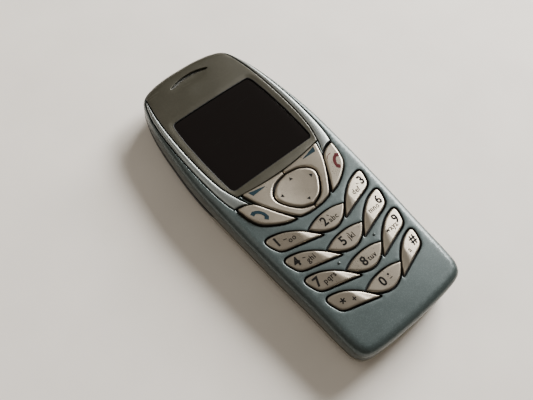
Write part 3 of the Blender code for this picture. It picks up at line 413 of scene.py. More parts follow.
def plate(name, flat, faces, rim, top, bottom):
    """A closed plate from a flat sheet and the heights of its two sides."""
    count = len(flat)
    points = np.vstack([np.column_stack([flat, top]), np.column_stack([flat, bottom])])
    all_faces = [list(f) for f in faces] + [[i + count for i in f[::-1]] for f in faces]
    all_faces += [[b, a, a + count, b + count] for a, b in rim]
    return shape(name, points, all_faces)


# %% [markdown]
# ## Shared shader groups
# Real finishes repeat a few effects: metal flakes in paint, a moulded grain, fine scratches from pockets and keys,
# and paint rubbed off along edges. Each effect is one node group with named inputs, placed in many materials.


# %% Group builder
def new_group(name, inputs, outputs):
    tree = bpy.data.node_groups.new(name, "ShaderNodeTree")
    for label, kind, value in inputs:
        socket = tree.interface.new_socket(label, in_out="INPUT", socket_type="NodeSocket" + kind)
        socket.default_value = value
    for label, kind in outputs:
        tree.interface.new_socket(label, in_out="OUTPUT", socket_type="NodeSocket" + kind)
    return tree, tree.nodes.new("NodeGroupInput"), tree.nodes.new("NodeGroupOutput")


def node(tree, kind, **settings):
    made = tree.nodes.new("ShaderNode" + kind)
    for key, value in settings.items():
        setattr(made, key, value)
    return made


def math_node(tree, operation, first, second=None, clamp=False):
    made = node(tree, "Math", operation=operation, use_clamp=clamp)
    for socket, value in zip(made.inputs, (first, second)):
        if isinstance(value, bpy.types.NodeSocket):
            tree.links.new(value, socket)
        elif value is not None:
            socket.default_value = value
    return made.outputs[0]


def mixed(tree, share, first, second):
    made = node(tree, "Mix", data_type="RGBA")
    for socket, value in zip((made.inputs[0], made.inputs[6], made.inputs[7]), (share, first, second)):
        if isinstance(value, bpy.types.NodeSocket):
            tree.links.new(value, socket)
        else:
            socket.default_value = value
    return made.outputs[2]


def noise(tree, vector, scale, detail=2.0, roughness=0.5):
    made = node(tree, "TexNoise")
    made.inputs["Detail"].default_value = detail
    made.inputs["Roughness"].default_value = roughness
    tree.links.new(vector, made.inputs["Vector"])
    if isinstance(scale, bpy.types.NodeSocket):
        tree.links.new(scale, made.inputs["Scale"])
    else:
        made.inputs["Scale"].default_value = scale
    return made.outputs["Fac"]


def place_of(tree):
    return node(tree, "TexCoord").outputs["Object"]


# %% Flake paint: Base, Flake, Flake Size and Amount give a Color
flakes, entry, leave = new_group(
    "flake_paint",
    [("Base", "Color", (0.5, 0.5, 0.5, 1)), ("Flake", "Color", (0.9, 0.9, 0.9, 1)),
     ("Flake Scale", "Float", 6000.0), ("Amount", "Float", 0.3)], [("Color", "Color")])
cells = node(flakes, "TexVoronoi")
flakes.links.new(place_of(flakes), cells.inputs["Vector"])
flakes.links.new(entry.outputs["Flake Scale"], cells.inputs["Scale"])
parts = node(flakes, "SeparateColor")
flakes.links.new(cells.outputs["Color"], parts.inputs[0])
bright = math_node(flakes, "POWER", parts.outputs[0], 3.0)
share = math_node(flakes, "MULTIPLY", bright, entry.outputs["Amount"], clamp=True)
sparkled = mixed(flakes, share, entry.outputs["Base"], entry.outputs["Flake"])
cloud = noise(flakes, place_of(flakes), 45.0, 3.0)
shade = math_node(flakes, "MULTIPLY", cloud, 0.16)
flakes.links.new(mixed(flakes, shade, sparkled, (0.0, 0.0, 0.0, 1)), leave.inputs[0])

# %% Moulded grain: a Scale gives a Height and a Tone
grain, entry, leave = new_group("moulded_grain", [("Scale", "Float", 2500.0)], [("Height", "Float"), ("Tone", "Float")])
fine = noise(grain, place_of(grain), entry.outputs["Scale"], 4.0, 0.6)
coarse = noise(grain, place_of(grain), 180.0, 3.0)
grain.links.new(fine, leave.inputs[0])
grain.links.new(math_node(grain, "MULTIPLY", fine, coarse), leave.inputs[1])

# %% Handling marks: hair scratches in two directions and a few rubbed patches
marks, entry, leave = new_group("handling_marks", [("Amount", "Float", 0.5), ("Length", "Float", 90.0)],
                                [("Mask", "Float")])
lines = []
for number, angle in enumerate((25, 112, 68)):
    turn = node(marks, "Mapping")
    turn.inputs["Rotation"].default_value = (0.3 * number, 0.2, math.radians(angle))
    turn.inputs["Scale"].default_value = (1.0, 46.0, 6.0)
    marks.links.new(place_of(marks), turn.inputs["Vector"])
    streak = noise(marks, turn.outputs[0], entry.outputs["Length"], 1.0)
    lines.append(math_node(marks, "GREATER_THAN", streak, 0.735))
both = math_node(marks, "MAXIMUM", math_node(marks, "MAXIMUM", lines[0], lines[1]), lines[2])
rubbed = math_node(marks, "SUBTRACT", noise(marks, place_of(marks), 160.0, 4.0), 0.45, clamp=True)
worn = math_node(marks, "MULTIPLY", both, math_node(marks, "MULTIPLY", rubbed, 4.0, clamp=True))
marks.links.new(math_node(marks, "MULTIPLY", worn, entry.outputs["Amount"], clamp=True), leave.inputs[0])

# %% Edge wear: the piece's own rim attribute, broken up by noise
wear, entry, leave = new_group("edge_wear", [("Amount", "Float", 0.5), ("Reach", "Float", 1.12)], [("Mask", "Float")])
rim_value = node(wear, "Attribute", attribute_name="rim").outputs["Fac"]
ragged = noise(wear, place_of(wear), 700.0, 5.0, 0.65)
level = math_node(wear, "ADD", rim_value, math_node(wear, "MULTIPLY", math_node(wear, "SUBTRACT", ragged, 0.5), 1.1))
over = math_node(wear, "SUBTRACT", level, entry.outputs["Reach"])
mask = math_node(wear, "MULTIPLY", over, 6.0, clamp=True)
wear.links.new(math_node(wear, "MULTIPLY", mask, entry.outputs["Amount"], clamp=True), leave.inputs[0])
print("shader groups:", [g.name for g in bpy.data.node_groups])

# %% [markdown]
# ## Finishes
# Every finish uses the same plan. The groups feed its colour, roughness and bump, and the plain numbers, such as
# the coat, are set on the shader's own sockets.


# %% Finish builder
def placed_group(tree, group, **values):
    made = tree.nodes.new("ShaderNodeGroup")
    made.node_tree = group
    for key, value in values.items():
        made.inputs[key.replace("_", " ")].default_value = value
    return made


def finish(name, base, flake=None, metallic=0.0, rough=0.45, coat=0.0, specular=0.5, flake_scale=6000.0,
           amount=0.25, grain_scale=2500.0, bump=0.12, depth=0.00004, scratch=0.35, worn=0.0, worn_color=None,
           rough_change=0.12):
    """A procedural finish from the shared groups."""
    made = bpy.data.materials.new(name)
    made.use_nodes = True
    tree = made.node_tree
    shader = tree.nodes["Principled BSDF"]
    shader.inputs["Metallic"].default_value = metallic
    shader.inputs["Coat Weight"].default_value = coat
    shader.inputs["Coat Roughness"].default_value = 0.12
    shader.inputs["Specular IOR Level"].default_value = specular
    base = (*base, 1.0)
    flake = (*flake, 1.0) if flake else tuple(min(1.0, c * 1.7 + 0.02) for c in base[:3]) + (1.0,)
    paint = placed_group(tree, flakes, Base=base, Flake=flake, Flake_Scale=flake_scale, Amount=amount)
    skin = placed_group(tree, grain, Scale=grain_scale)
    used = placed_group(tree, marks, Amount=scratch)
    edges = placed_group(tree, wear, Amount=worn)
    lighter = tuple(min(1.0, c * 1.5 + 0.03) for c in base[:3]) + (1.0,)
    colour = mixed(tree, used.outputs[0], paint.outputs[0], lighter)
    bare = (*worn_color, 1.0) if worn_color else lighter
    colour = mixed(tree, edges.outputs[0], colour, bare)
    tree.links.new(colour, shader.inputs["Base Color"])
    change = math_node(tree, "MULTIPLY", skin.outputs["Tone"], rough_change * 2)
    shine = math_node(tree, "ADD", change, rough - rough_change / 2)
    shine = math_node(tree, "ADD", shine, math_node(tree, "MULTIPLY", used.outputs[0], 0.15), clamp=True)
    tree.links.new(shine, shader.inputs["Roughness"])
    relief = node(tree, "Bump")
    relief.inputs["Strength"].default_value = bump
    relief.inputs["Distance"].default_value = depth
    height = math_node(tree, "SUBTRACT", skin.outputs["Height"], used.outputs[0])
    tree.links.new(height, relief.inputs["Height"])
    tree.links.new(relief.outputs[0], shader.inputs["Normal"])
    return made


# %% The painted and moulded finishes
case_paint = finish("case_paint", (0.041, 0.057, 0.057), (0.130, 0.168, 0.172), metallic=0.45, rough=0.38, coat=0.2,
                    scratch=0.12,
                    worn=0.25, worn_color=(0.13, 0.14, 0.13))
gunmetal = finish("window_gunmetal", (0.040, 0.037, 0.025), (0.085, 0.080, 0.058), metallic=0.5, rough=0.36, coat=0.25,
                  scratch=0.6, worn=0.2, worn_color=(0.10, 0.09, 0.07))
trim_silver = finish("trim_silver", (0.195, 0.212, 0.208), (0.36, 0.38, 0.37), metallic=0.85, rough=0.30, coat=0.15,
                     amount=0.08, worn=0.2, worn_color=(0.30, 0.30, 0.28))
key_silver = finish("key_silver", (0.268, 0.236, 0.190), (0.46, 0.42, 0.35), metallic=0.85, rough=0.30, coat=0.1,
                    scratch=0.2, worn=0.35, worn_color=(0.33, 0.29, 0.23), amount=0.18)
rear_silver = finish("rear_silver", (0.26, 0.24, 0.20), (0.46, 0.43, 0.38), metallic=0.5, rough=0.42, scratch=0.8,
                     worn=0.5, worn_color=(0.40, 0.38, 0.33))
dark_plastic = finish("dark_plastic", (0.014, 0.014, 0.015), rough=0.5, amount=0.1, bump=0.35, grain_scale=4000.0)
# Black for the walls of keys and holes and for the stems; round the cover's holes, on the key edges and round the
# screen it is painted shade.
black_wall_and_shade = finish("black_wall_and_shade", (0.003, 0.003, 0.003), rough=0.5, amount=0.05, bump=0.2, specular=0.2)
silicone = finish("silicone", (0.022, 0.022, 0.023), rough=0.75, amount=0.05, bump=0.4, grain_scale=1800.0)
screen_black = finish("screen_black", (0.0052, 0.0042, 0.0040), rough=0.10, coat=0.0, specular=0.15, amount=0.0,
                      bump=0.01, scratch=0.05, rough_change=0.03)
tin_plate = finish("tin_plate", (0.46, 0.46, 0.44), (0.7, 0.7, 0.68), metallic=1.0, rough=0.36, amount=0.3, bump=0.3,
                   grain_scale=1500.0)
gold_plate = finish("gold_plate", (0.75, 0.52, 0.20), (0.95, 0.75, 0.40), metallic=1.0, rough=0.28, amount=0.2)
white_plastic = finish("white_plastic", (0.55, 0.54, 0.50), rough=0.5, amount=0.05, bump=0.2)
print_dark = finish("print_dark", (0.004, 0.0035, 0.003), rough=0.7, amount=0.02, specular=0.08, scratch=0.05)
print_grey = finish("print_grey", (0.010, 0.008, 0.0065), rough=0.7, amount=0.02, specular=0.08, scratch=0.05)
print_teal = finish("print_teal", (0.0015, 0.014, 0.021), rough=0.65, amount=0.05, specular=0.1, scratch=0.05)
print_red = finish("print_red", (0.055, 0.002, 0.004), rough=0.65, amount=0.05, specular=0.1, scratch=0.05)

# %% [markdown]
# ## The board's green lacquer
# A circuit board shows copper tracks under its lacquer. A brick pattern at a small size gives the straight tracks.

# %% Board finish
board_green = finish("board_green", (0.012, 0.090, 0.045), (0.03, 0.16, 0.08), rough=0.35, coat=0.4, amount=0.2)
tree = board_green.node_tree
shader = tree.nodes["Principled BSDF"]
under = shader.inputs["Base Color"].links[0].from_socket
tracks = node(tree, "TexBrick")
tracks.inputs["Scale"].default_value = 420.0
tracks.inputs["Mortar Size"].default_value = 0.06
tracks.inputs["Color1"].default_value = (0, 0, 0, 1)
tracks.inputs["Color2"].default_value = (0, 0, 0, 1)
tracks.inputs["Mortar"].default_value = (1, 1, 1, 1)
tree.links.new(place_of(tree), tracks.inputs["Vector"])
tree.links.new(mixed(tree, tracks.outputs["Fac"], under, (0.030, 0.150, 0.070, 1)), shader.inputs["Base Color"])

# %% [markdown]
# ## Rims for the edge wear
# Paint wears first along edges. Each painted piece gets an attribute that is 1 on its rim and fades to 0 a little
# way in, and the edge-wear group reads it.


# %% Rim attribute
def mark_rim(item, outlines, reach=0.9):
    points = np.zeros(len(item.data.vertices) * 3, np.float32)
    item.data.vertices.foreach_get("co", points)
    points = points.reshape(-1, 3)[:, :2] / MM
    gap = np.full(len(points), 1e9)
    for outline in outlines:
        gap = np.minimum(gap, outline_distance(points, outline))
    values = item.data.attributes.new("rim", "FLOAT", "POINT")
    values.data.foreach_set("value", np.clip(1 - gap / reach, 0, 1).astype(np.float32))


def face_middles(item):
    return np.array([face.center[:2] for face in item.data.polygons]) / MM


def blacken(item, chosen):
    """Gives the chosen faces the piece's second material."""
    item.data.polygons.foreach_set("material_index", chosen.astype(np.int32))


def finished(item, body, materials, slot, *nodes):
    """Gives a piece its materials and its body, and hides the engineering nodes that it stands for. The slot is not
    used.
    """
    item.data.materials.clear()
    for material in materials if isinstance(materials, (list, tuple)) else [materials]:
        item.data.materials.append(material)
    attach(item, body)
    if nodes:
        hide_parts(*nodes)
    return item


# %% [markdown]
# ## The outlines of the keys and the window
# The right-hand side is drawn, and the left mirrors it. A number key is a wing with a sharp inner tip, a middle key
# is a boat between two wings, and the two soft keys wrap round the navigation key.

# %% Key outlines
ROW_PITCH = 7.42
ROW_TAPER = (0.0, 0.35, 0.8, 1.7)
SIDE_KEY = [(4.5, -18.1), (8.0, -17.1), (12.0, -16.0), (15.0, -15.2), (16.6, -14.3), (17.4, -12.8), (18.0, -10.9),
            (17.8, -9.9), (16.5, -9.7), (13.3, -10.6), (10.6, -12.1), (8.5, -13.7), (6.9, -15.3), (5.6, -16.8),
            (4.5, -18.1)]
MID_HIGH = [(-6.5, -14.75), (-3.5, -13.75), (0.0, -13.4), (3.5, -13.75), (6.5, -14.75)]
MID_LOW = [(-6.5, -14.75), (-5.2, -16.2), (-3.0, -17.85), (0.0, -18.65), (3.0, -17.85), (5.2, -16.2), (6.5, -14.75)]
NAV_HALF = [(0.0, -9.5), (3.1, -8.4), (5.3, -6.3), (6.9, -3.8), (7.25, -1.9), (6.2, -0.2), (3.8, 1.3), (0.0, 2.0)]
CALL_OUTER = [(6.9, -10.0), (9.3, -9.4), (12.0, -8.1), (14.8, -6.2), (16.2, -4.5), (17.0, -2.4), (17.5, 0.0),
              (17.7, 1.9)]
CALL_TOP = [(17.7, 1.9), (15.2, 1.35), (13.3, 0.35)]
CALL_INNER = [(13.3, 0.35), (12.4, -0.9), (10.3, -4.6), (8.3, -7.9), (6.9, -10.0)]
SOFT_SPLIT = 0.2
SOFT_LOW = [(SOFT_SPLIT, -10.85), (2.5, -10.75), (5.1, -10.25)]
SOFT_OUTER = [(5.1, -10.25), (6.4, -9.1), (9.5, -4.8), (12.3, 0.0), (13.9, 4.75)]
FIT = 0.3
WINDOW_LOW, WINDOW_RISE = 3.85, 1.3
WINDOW_MARGIN = 0.45
TRIM_INNER = [(14.95, 47.0), (15.5, 45.0), (16.5, 40.0), (17.1, 35.0), (17.45, 30.0), (17.6, 25.0), (17.6, 20.0),
              (17.4, 15.0), (16.8, 10.0), (15.8, 6.5), (14.9, 4.0), (13.7, 1.2)]
TRIM_OUTER = [(15.65, 46.9), (16.6, 45.0), (17.95, 40.0), (18.8, 35.0), (19.3, 30.0), (19.6, 25.0), (19.75, 20.0),
              (19.7, 15.0), (19.5, 10.0), (19.2, 7.0), (18.8, 4.6), (18.3, 2.6)]


def window_low(x):
    return WINDOW_LOW + WINDOW_RISE * np.minimum(1.0, (x / TRIM_INNER[-2][0]) ** 2)


def side_key(row):
    """The two long edges of a right-hand number key, from its tip to the middle of its outer end."""
    line = smooth_line(SIDE_KEY, 8) - (0, ROW_PITCH * row)
    line[:, 0] -= ROW_TAPER[row] * (line[:, 0] - SIDE_KEY[0][0]) / (SIDE_KEY[6][0] - SIDE_KEY[0][0])
    return line[:45], line[44:][::-1]


def mid_key(row):
    drop = (0, ROW_PITCH * row)
    return smooth_line(MID_LOW, 8) - drop, smooth_line(MID_HIGH, 10) - drop


def call_edges():
    top = smooth_line(CALL_TOP, 8)
    outer, inner = smooth_line(CALL_OUTER, 8), smooth_line(CALL_INNER, 8)
    return np.vstack([outer[:-1], top[:9]]), np.vstack([top[8:-1], inner])[::-1]


nav_right = smooth_line(NAV_HALF, 8)
NAV_EDGES = (nav_right, nav_right * (-1, 1))
NAV = loop(nav_right, flipped(nav_right))


def soft_edges():
    reach = SOFT_OUTER[-1][0]
    top_x = np.linspace(reach, SOFT_SPLIT, 16)
    top = np.column_stack([top_x, window_low(top_x) - FIT])
    outer = smooth_line([*SOFT_OUTER[:-1], tuple(top[0])], 8)
    around = grown(NAV, NAV_GAP)
    around = around[: len(nav_right)]
    around = around[around[:, 0] > SOFT_SPLIT * 2]
    inner = np.vstack([[(SOFT_SPLIT, NAV_HALF[0][1] - NAV_GAP)], around, [(SOFT_SPLIT, NAV_HALF[-1][1] + NAV_GAP)]])
    return np.vstack([smooth_line(SOFT_LOW, 6)[:-1], outer[:-1], top]), inner


def mirror_edges(edges):
    return edges[0] * (-1, 1), edges[1] * (-1, 1)


def ring_of(edges):
    """The closed outline of a key from its two long edges."""
    line = np.vstack([edges[0], edges[1][::-1]])
    keep = np.linalg.norm(line - np.roll(line, 1, 0), axis=1) > 1e-4
    return line[keep]


KEY_ROWS = (("key_1", "key_2", "key_3"), ("key_4", "key_5", "key_6"), ("key_7", "key_8", "key_9"),
            ("key_star", "key_0", "key_hash"))
ROW_OF = {name: row for row, names in enumerate(KEY_ROWS) for name in names}
WINGS = {name for names in KEY_ROWS for name in (names[0], names[2])}
KEYS = {}
for row, names in enumerate(KEY_ROWS):
    KEYS[names[0]] = mirror_edges(side_key(row))
    KEYS[names[1]] = mid_key(row)
    KEYS[names[2]] = side_key(row)
KEYS["call_key"], KEYS["end_key"] = mirror_edges(call_edges()), call_edges()
KEYS["soft_key_left"], KEYS["soft_key_right"] = mirror_edges(soft_edges()), soft_edges()
print("keys:", len(KEYS))


# %% Window and trim outlines
def window_half_width(y):
    edge = np.array(TRIM_INNER)[::-1]
    return np.interp(y, edge[:, 1], edge[:, 0]) - 0.3 * np.maximum(0, y - edge[-1, 1])


def window_outline(grow):
    """The window plate's outline, grown by a distance."""
    x = np.linspace(-1, 1, 60)
    low_half = float(window_half_width(WINDOW_LOW + WINDOW_RISE)) + grow
    low = np.column_stack([x * low_half, window_low(x * low_half) - FIT / 2 - grow])
    end = CASE[CASE[:, 1] > END_Y * 0.7]
    end = end[np.argsort(end[:, 0])]
    high_half = float(window_half_width(END_Y - 3.0)) + grow
    high_x = np.linspace(high_half, -high_half, 60)
    high = np.column_stack([high_x, np.interp(high_x, end[:, 0], end[:, 1]) - WINDOW_MARGIN + grow])
    y = np.linspace(low[-1, 1], high[0, 1], 110)
    side = np.column_stack([window_half_width(y) + grow, y])
    side[0], side[-1] = low[-1], high[0]
    return loop(low, side, high, flipped(side))


def trim_edges():
    inner = smooth_line(TRIM_INNER[::-1], 8)
    outer = smooth_line(TRIM_OUTER[::-1], 8)
    return inner, outer


def trim_outline(grow):
    inner, outer = trim_edges()
    low = smooth_line([tuple(outer[0]), tuple((inner[0] + outer[0]) / 2 + (0, 0.35)), tuple(inner[0])], 6)
    return grown(loop(inner, np.vstack([inner[-1:], outer[-1:]]), outer[::-1], low), grow)


# %% [markdown]
# ## The front cover
# The cover is one moulded and painted shell. Its face is the sheet with holes, and its side is a short wall of rings
# that turns over the edge, goes down to the parting line and comes back up inside.

# %% Front cover
EDGE_START = 0.3
HOLE_ROUND, SHEET_THICK = 0.3, 1.3
DOT_X, DOT_Y, DOT_RADIUS = 6.7, -26.8, 0.42
PLUG_SIDE, PLUG_DEEP = 0.6, 4.4
# The width of the black band round the cover's holes, which is painted shade in the gaps.
PAINTED_GAP_SHADE = 0.045
window_hole = kept_inside(densified(window_outline(0.1), 0.3), 0.45)
trim_hole = kept_inside(trim_outline(0.1), 0.55)
holes = [window_hole, trim_hole, flipped(trim_hole), grown(NAV, NAV_GAP)]
holes += [eased(grown(ring_of(edges), KEY_GAP)) for edges in KEYS.values()]
edge_rings = [inset(d)[:: 2] for d in (0.5, 0.75, 1.05, 1.45, 1.9)]
flat, faces, rim = flat_sheet(inset(EDGE_START), holes, 1.0, extra=edge_rings)
ring = inset(EDGE_START)
gap, drop = rim_rounding(flat, rim, HOLE_ROUND, ring)
tops = skin_height(flat[:, 0], flat[:, 1]) - drop
lows = np.minimum(skin_height(flat[:, 0], flat[:, 1]) - SHEET_THICK, FACE_Z - 1.5)
count = len(flat)
points = [*np.column_stack([flat, tops]), *np.column_stack([flat, lows])]
all_faces = [list(f) for f in faces] + [[i + count for i in f[::-1]] for f in faces]
rim_middle = (flat[[a for a, b in rim]] + flat[[b for a, b in rim]]) / 2
on_ring = outline_distance(rim_middle, ring) < 0.02
for (a, b), outer_edge in zip(rim, on_ring):
    if not outer_edge:
        all_faces.append([b, a, a + count, b + count])
order = [int(np.argmin(((flat - p) ** 2).sum(1))) for p in ring]
rings = [order]
for distance in (0.17, 0.08, 0.025, 0.0):
    outline = inset(distance)
    z = face_height(outline[:, 0], outline[:, 1]) - rounding(np.full(len(outline), distance), EDGE_ROUND)
    rings.append(range(len(points), len(points) + len(outline)))
    points += [*np.column_stack([outline, z])]
for distance, z in ((0.0, 9.0), (0.0, LIP_Z + 0.25), (0.12, LIP_Z), (WALL, LIP_Z), (WALL, 9.0)):
    outline = inset(distance)
    rings.append(range(len(points), len(points) + len(outline)))
    points += [*np.column_stack([outline, np.full(len(outline), z)])]
rings.append([i + count for i in order])
for upper, lower in zip(rings, rings[1:]):
    upper, lower = list(upper), list(lower)
    for i in range(len(ring)):
        j = (i + 1) % len(ring)
        all_faces.append([upper[i], lower[i], lower[j], upper[j]])
cover = shape("front_shell", points, all_faces)
print("front shell:", len(cover.data.polygons), "faces")

# %% [markdown]
# The power key needs a hole in the top wall and the connectors' housing needs a notch in the bottom one. These two
# are real straight cuts, so they are Booleans. Two small dots beside the 5 row let a finger find the middle.

# %% Front cover, cuts and dots
power_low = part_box("power_key")[0]
plug_low, plug_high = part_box("system_connector")
power_hole = prism([(x * 4.8, power_low.z / MM + 0.25 + z * 2.3) for x, z in
                    ((-1, .25), (-1, .75), (-.9, 1), (.9, 1), (1, .75), (1, .25), (.9, 0), (-.9, 0))],
                   -END_Y - 2, -END_Y + 4)
for vertex in power_hole.data.vertices:
    x, z, y = vertex.co
    vertex.co = (x, -y, z)
notch = block((plug_low.x / MM - PLUG_SIDE, -END_Y - 2, LIP_Z - 2),
              (plug_high.x / MM + PLUG_SIDE, -END_Y + PLUG_DEEP, plug_high.z / MM))
tidy_boolean(cover, [power_hole, notch])
made = bmesh.new()
made.from_mesh(cover.data)
for side in (-1, 1):
    x, y = side * DOT_X, DOT_Y
    before = set(made.verts)
    bmesh.ops.create_uvsphere(made, u_segments=20, v_segments=10, radius=DOT_RADIUS * MM)
    for vertex in set(made.verts) - before:
        vertex.co = (vertex.co.x + x * MM, vertex.co.y + y * MM, vertex.co.z * 0.75 + float(face_height(x, y)) * MM)
made.to_mesh(cover.data)
made.free()
cover.data.shade_smooth()
cover.data.set_sharp_from_angle(angle=math.radians(40))
mark_rim(cover, [CASE, window_hole, *holes[4:]], 0.55)
finished(cover, "front_cover", [case_paint, black_wall_and_shade], "case_blue", "front_cover")
# The walls of the holes and a thin band round them take the black finish: painted shade that darkens the gaps round the
# keys, the window and the trims.
centres = face_middles(cover)
gap = np.full(len(centres), 1e9)
for number, hole in enumerate(holes):
    gap = np.minimum(gap, outline_distance(centres, hole) - (0.06 if number > 2 else 0.0))
blacken(cover, gap < PAINTED_GAP_SHADE)
print("front cover:", len(cover.data.polygons), "faces")

# %% [markdown]
# ## The window plate
# The plate is a pressed sheet round the screen. Its surface dips towards the glass in a soft chamfer, and a shallow
# scoop leads up to the slot over the earpiece. The opening for the screen is slightly barrel-shaped.


# %% Window plate
SLOT_HALF, SLOT_BELOW_END = 6.9, 5.3
SCREEN_DISH, DISH_REACH = 0.17, 1.9
PAINTED_SHADE_BORDER = 0.3


def screen_half_width(y):
    return np.interp(y, (7.2, 13.0, 20.0, 28.0, 35.2), (14.9, 15.25, 15.35, 15.1, 14.4))


def screen_outline(grow=0.0):
    """The opening over the screen, with small round corners."""
    low_y, high_y, corner = 7.2, 35.1, 1.2
    y = np.linspace(low_y + corner, high_y - corner, 50)
    side = np.column_stack([screen_half_width(y), y])
    turns = np.linspace(0, math.pi / 2, 9)
    low_x, high_x = float(screen_half_width(low_y)) - corner, float(screen_half_width(high_y)) - corner
    low_turn = np.column_stack([low_x + corner * np.sin(turns), low_y + corner * (1 - np.cos(turns))])
    high_turn = np.column_stack([high_x + corner * np.cos(turns), high_y - corner * (1 - np.sin(turns))])
    half_low = np.column_stack([np.linspace(0, low_x, 24)[:-1], np.full(23, low_y)])
    x = np.linspace(high_x, 0, 24)[1:]
    half_high = np.column_stack([x, high_y + 0.12 * (1 - (x / high_x) ** 2)])
    right = np.vstack([half_low, low_turn[:-1], side[:-1], high_turn, half_high])
    return grown(loop(right, flipped(right)), grow)


def slot_outline():
    """The bowed slot over the earpiece."""
    u = np.linspace(-1, 1, 44)
    upper = np.column_stack([u * SLOT_HALF, END_Y - SLOT_BELOW_END + 1.5 * (1 - np.abs(u) ** 2.2)])
    thick = 0.9 * np.sqrt(np.maximum(1 - np.abs(u) ** 5, 0.02))
    lower = upper - np.column_stack([0 * u, thick])
    return np.vstack([upper[::-1], lower])


screen, slot_edge = densified(screen_outline(), 0.22), eased(slot_outline(), 2)
rings = [densified(screen_outline(d), 0.3 + d / 6) for d in (0.48, 0.75, 1.05, 1.35, 1.65, 2.0)]
window_edge = kept_inside(densified(window_outline(-0.15), 0.3), 0.6)
flat, faces, rim = flat_sheet(window_edge, [screen, slot_edge], 0.9,
                              rims=(0.08, 0.17, 0.28), extra=rings)
gap, drop = rim_rounding(flat, rim, 0.22)
to_screen = outline_distance(flat, screen)
dish = SCREEN_DISH * (1 - soft_step(to_screen / DISH_REACH))
scoop = 0.22 * np.exp(-((flat[:, 0] / 5.8) ** 4)) * np.exp(-(((flat[:, 1] - (END_Y - 5.9)) / 1.2) ** 2))
tops = skin_height(flat[:, 0], flat[:, 1]) - drop - dish - scoop
bottoms = np.minimum(skin_height(flat[:, 0], flat[:, 1]) - 0.8, tops - 0.15)
window = plate("window_plate", flat, faces, rim, tops, bottoms)
mark_rim(window, [window_edge, slot_edge], 0.35)
finished(window, "front_cover", [gunmetal, black_wall_and_shade], "window_gunmetal", "display_window")
# A band round the screen opening takes the black finish: painted shade that hides the chamfer's highlight beside the
# screen.
blacken(window, outline_distance(face_middles(window), screen) < PAINTED_SHADE_BORDER)

outline = screen_outline(-0.05)
flat, faces, rim = flat_sheet(outline, [], 1.6, rims=(0.1, 0.3))
level = face_height(flat[:, 0], flat[:, 1])
dome = 0.10 * np.clip(outline_distance(flat, outline) / 1.2, 0, 1)
pane = plate("screen_pane", flat, faces, rim, level - 0.52 + dome, level - 0.86)
finished(pane, "front_cover", screen_black, "display_glass")
print("window:", len(window.data.polygons), "pane:", len(pane.data.polygons))

# %% [markdown]
# ## The silver trims
# Each trim is a slim blade along the window. It is lofted between its two edges with a gentle crown, and its rims
# roll over towards the window and the case.


# %% A patch between two edges
def patch(name, edges, height_of, bottom_of, across=15, along=70, gather=0.75, painted_shade_band=0.12):
    """A closed piece between two long edges, its top a grid of rows. Its straight walls are black, and so is
    a band of the given width along the top's edge, which is painted shade.
    """
    first, second = (even_line(edge, along, 0.35) for edge in edges)
    share = (1 - np.cos(math.pi * np.linspace(0, 1, across))) / 2 * gather + np.linspace(0, 1, across) * (1 - gather)
    grid = np.array([first * (1 - s) + second * s for s in share])
    flat = grid.reshape(-1, 2)
    top = height_of(flat)
    base = bottom_of(flat)
    points = [*np.column_stack([flat, top])]
    faces = []
    for i in range(across - 1):
        for j in range(along - 1):
            a = i * along + j
            faces.append([a, a + 1, a + along + 1, a + along])
    outline = np.vstack([first, second[::-1]])
    near = outline_distance(flat[np.array(faces)].mean(1), outline) < painted_shade_band
    kinds = near.astype(int).tolist()
    ring = list(range(along)) + [i * along + along - 1 for i in range(1, across)]
    ring += list(range((across - 1) * along, across * along - 1))[::-1] + [i * along for i in range(across - 2, 0, -1)]
    upper = ring
    for share_down in (0.35, 1.0):
        start = len(points)
        for i in ring:
            x, y = flat[i]
            points.append((x, y, top[i] + (base[i] - top[i]) * share_down))
        lower = list(range(start, start + len(ring)))
        for k in range(len(ring)):
            n = (k + 1) % len(ring)
            faces.append([upper[k], lower[k], lower[n], upper[n]])
            kinds.append(1)
        upper = lower
    position = {i: k for k, i in enumerate(ring)}
    start = len(points)
    inner = [i for i in range(len(flat)) if i not in position]
    under = {i: upper[position[i]] for i in ring}
    for i in inner:
        under[i] = len(points)
        points.append((flat[i][0], flat[i][1], base[i]))
    for i in range(across - 1):
        for j in range(along - 1):
            a = i * along + j
            faces.append([under[a], under[a + along], under[a + along + 1], under[a + 1]])
            kinds.append(1)
    return shape(name, points, faces, kinds)


trim_ring = densified(kept_inside(trim_outline(-0.15), 0.7), 0.25)
TRIM_CROWN, TRIM_ROUND = 0.16, 0.42
trim_sides = [(edge[:-1], edge[1:]) for edge in trim_edges()]
for side, name, node_name in ((-1, "left_trim_blade", "trim_left"), (1, "right_trim_blade", "trim_right")):
    outline = trim_ring if side > 0 else flipped(trim_ring)

    flat, faces, rim = flat_sheet(outline, [], 0.35, rims=(0.08, 0.18, 0.32, 0.5))
    gap, drop = rim_rounding(flat, rim, TRIM_ROUND)
    near, far = (distance_to(flat * (side, 1), *ends) for ends in trim_sides)
    crown = TRIM_CROWN * 4 * near * far / (near + far) ** 2
    level = skin_height(flat[:, 0], flat[:, 1])
    blade = plate(name, flat, faces, rim, level + 0.05 - drop * 0.8 + crown, level - 0.8)
    mark_rim(blade, [outline], 0.16)
    finished(blade, "front_cover", trim_silver, "silver_paint", node_name)
print("trims done")

# %% [markdown]
# ## The keys
# A key top is a patch between its two long edges. Its height follows the crowned face with a small step up, and a
# distance-based rounding rolls its edge over. The side walls are black, and a thin band along the top's edge is black
# too: painted shade that widens the dark ring round each key and dims its rim highlight. The outer keys bend down
# past a soft diagonal crease.


# %% Keys
CREASE_DEEP, OUTER_TILT, KEY_BOWL = 0.42, 0.075, 0.035
STEM_RADIUS, NAV_BOWL, NAV_ROUND = 1.3, 0.30, 0.55
NAV_MIDDLE_Y = 3.75
def edge_drop(flat, outline, radius):
    return rounding(outline_distance(flat, outline), radius)


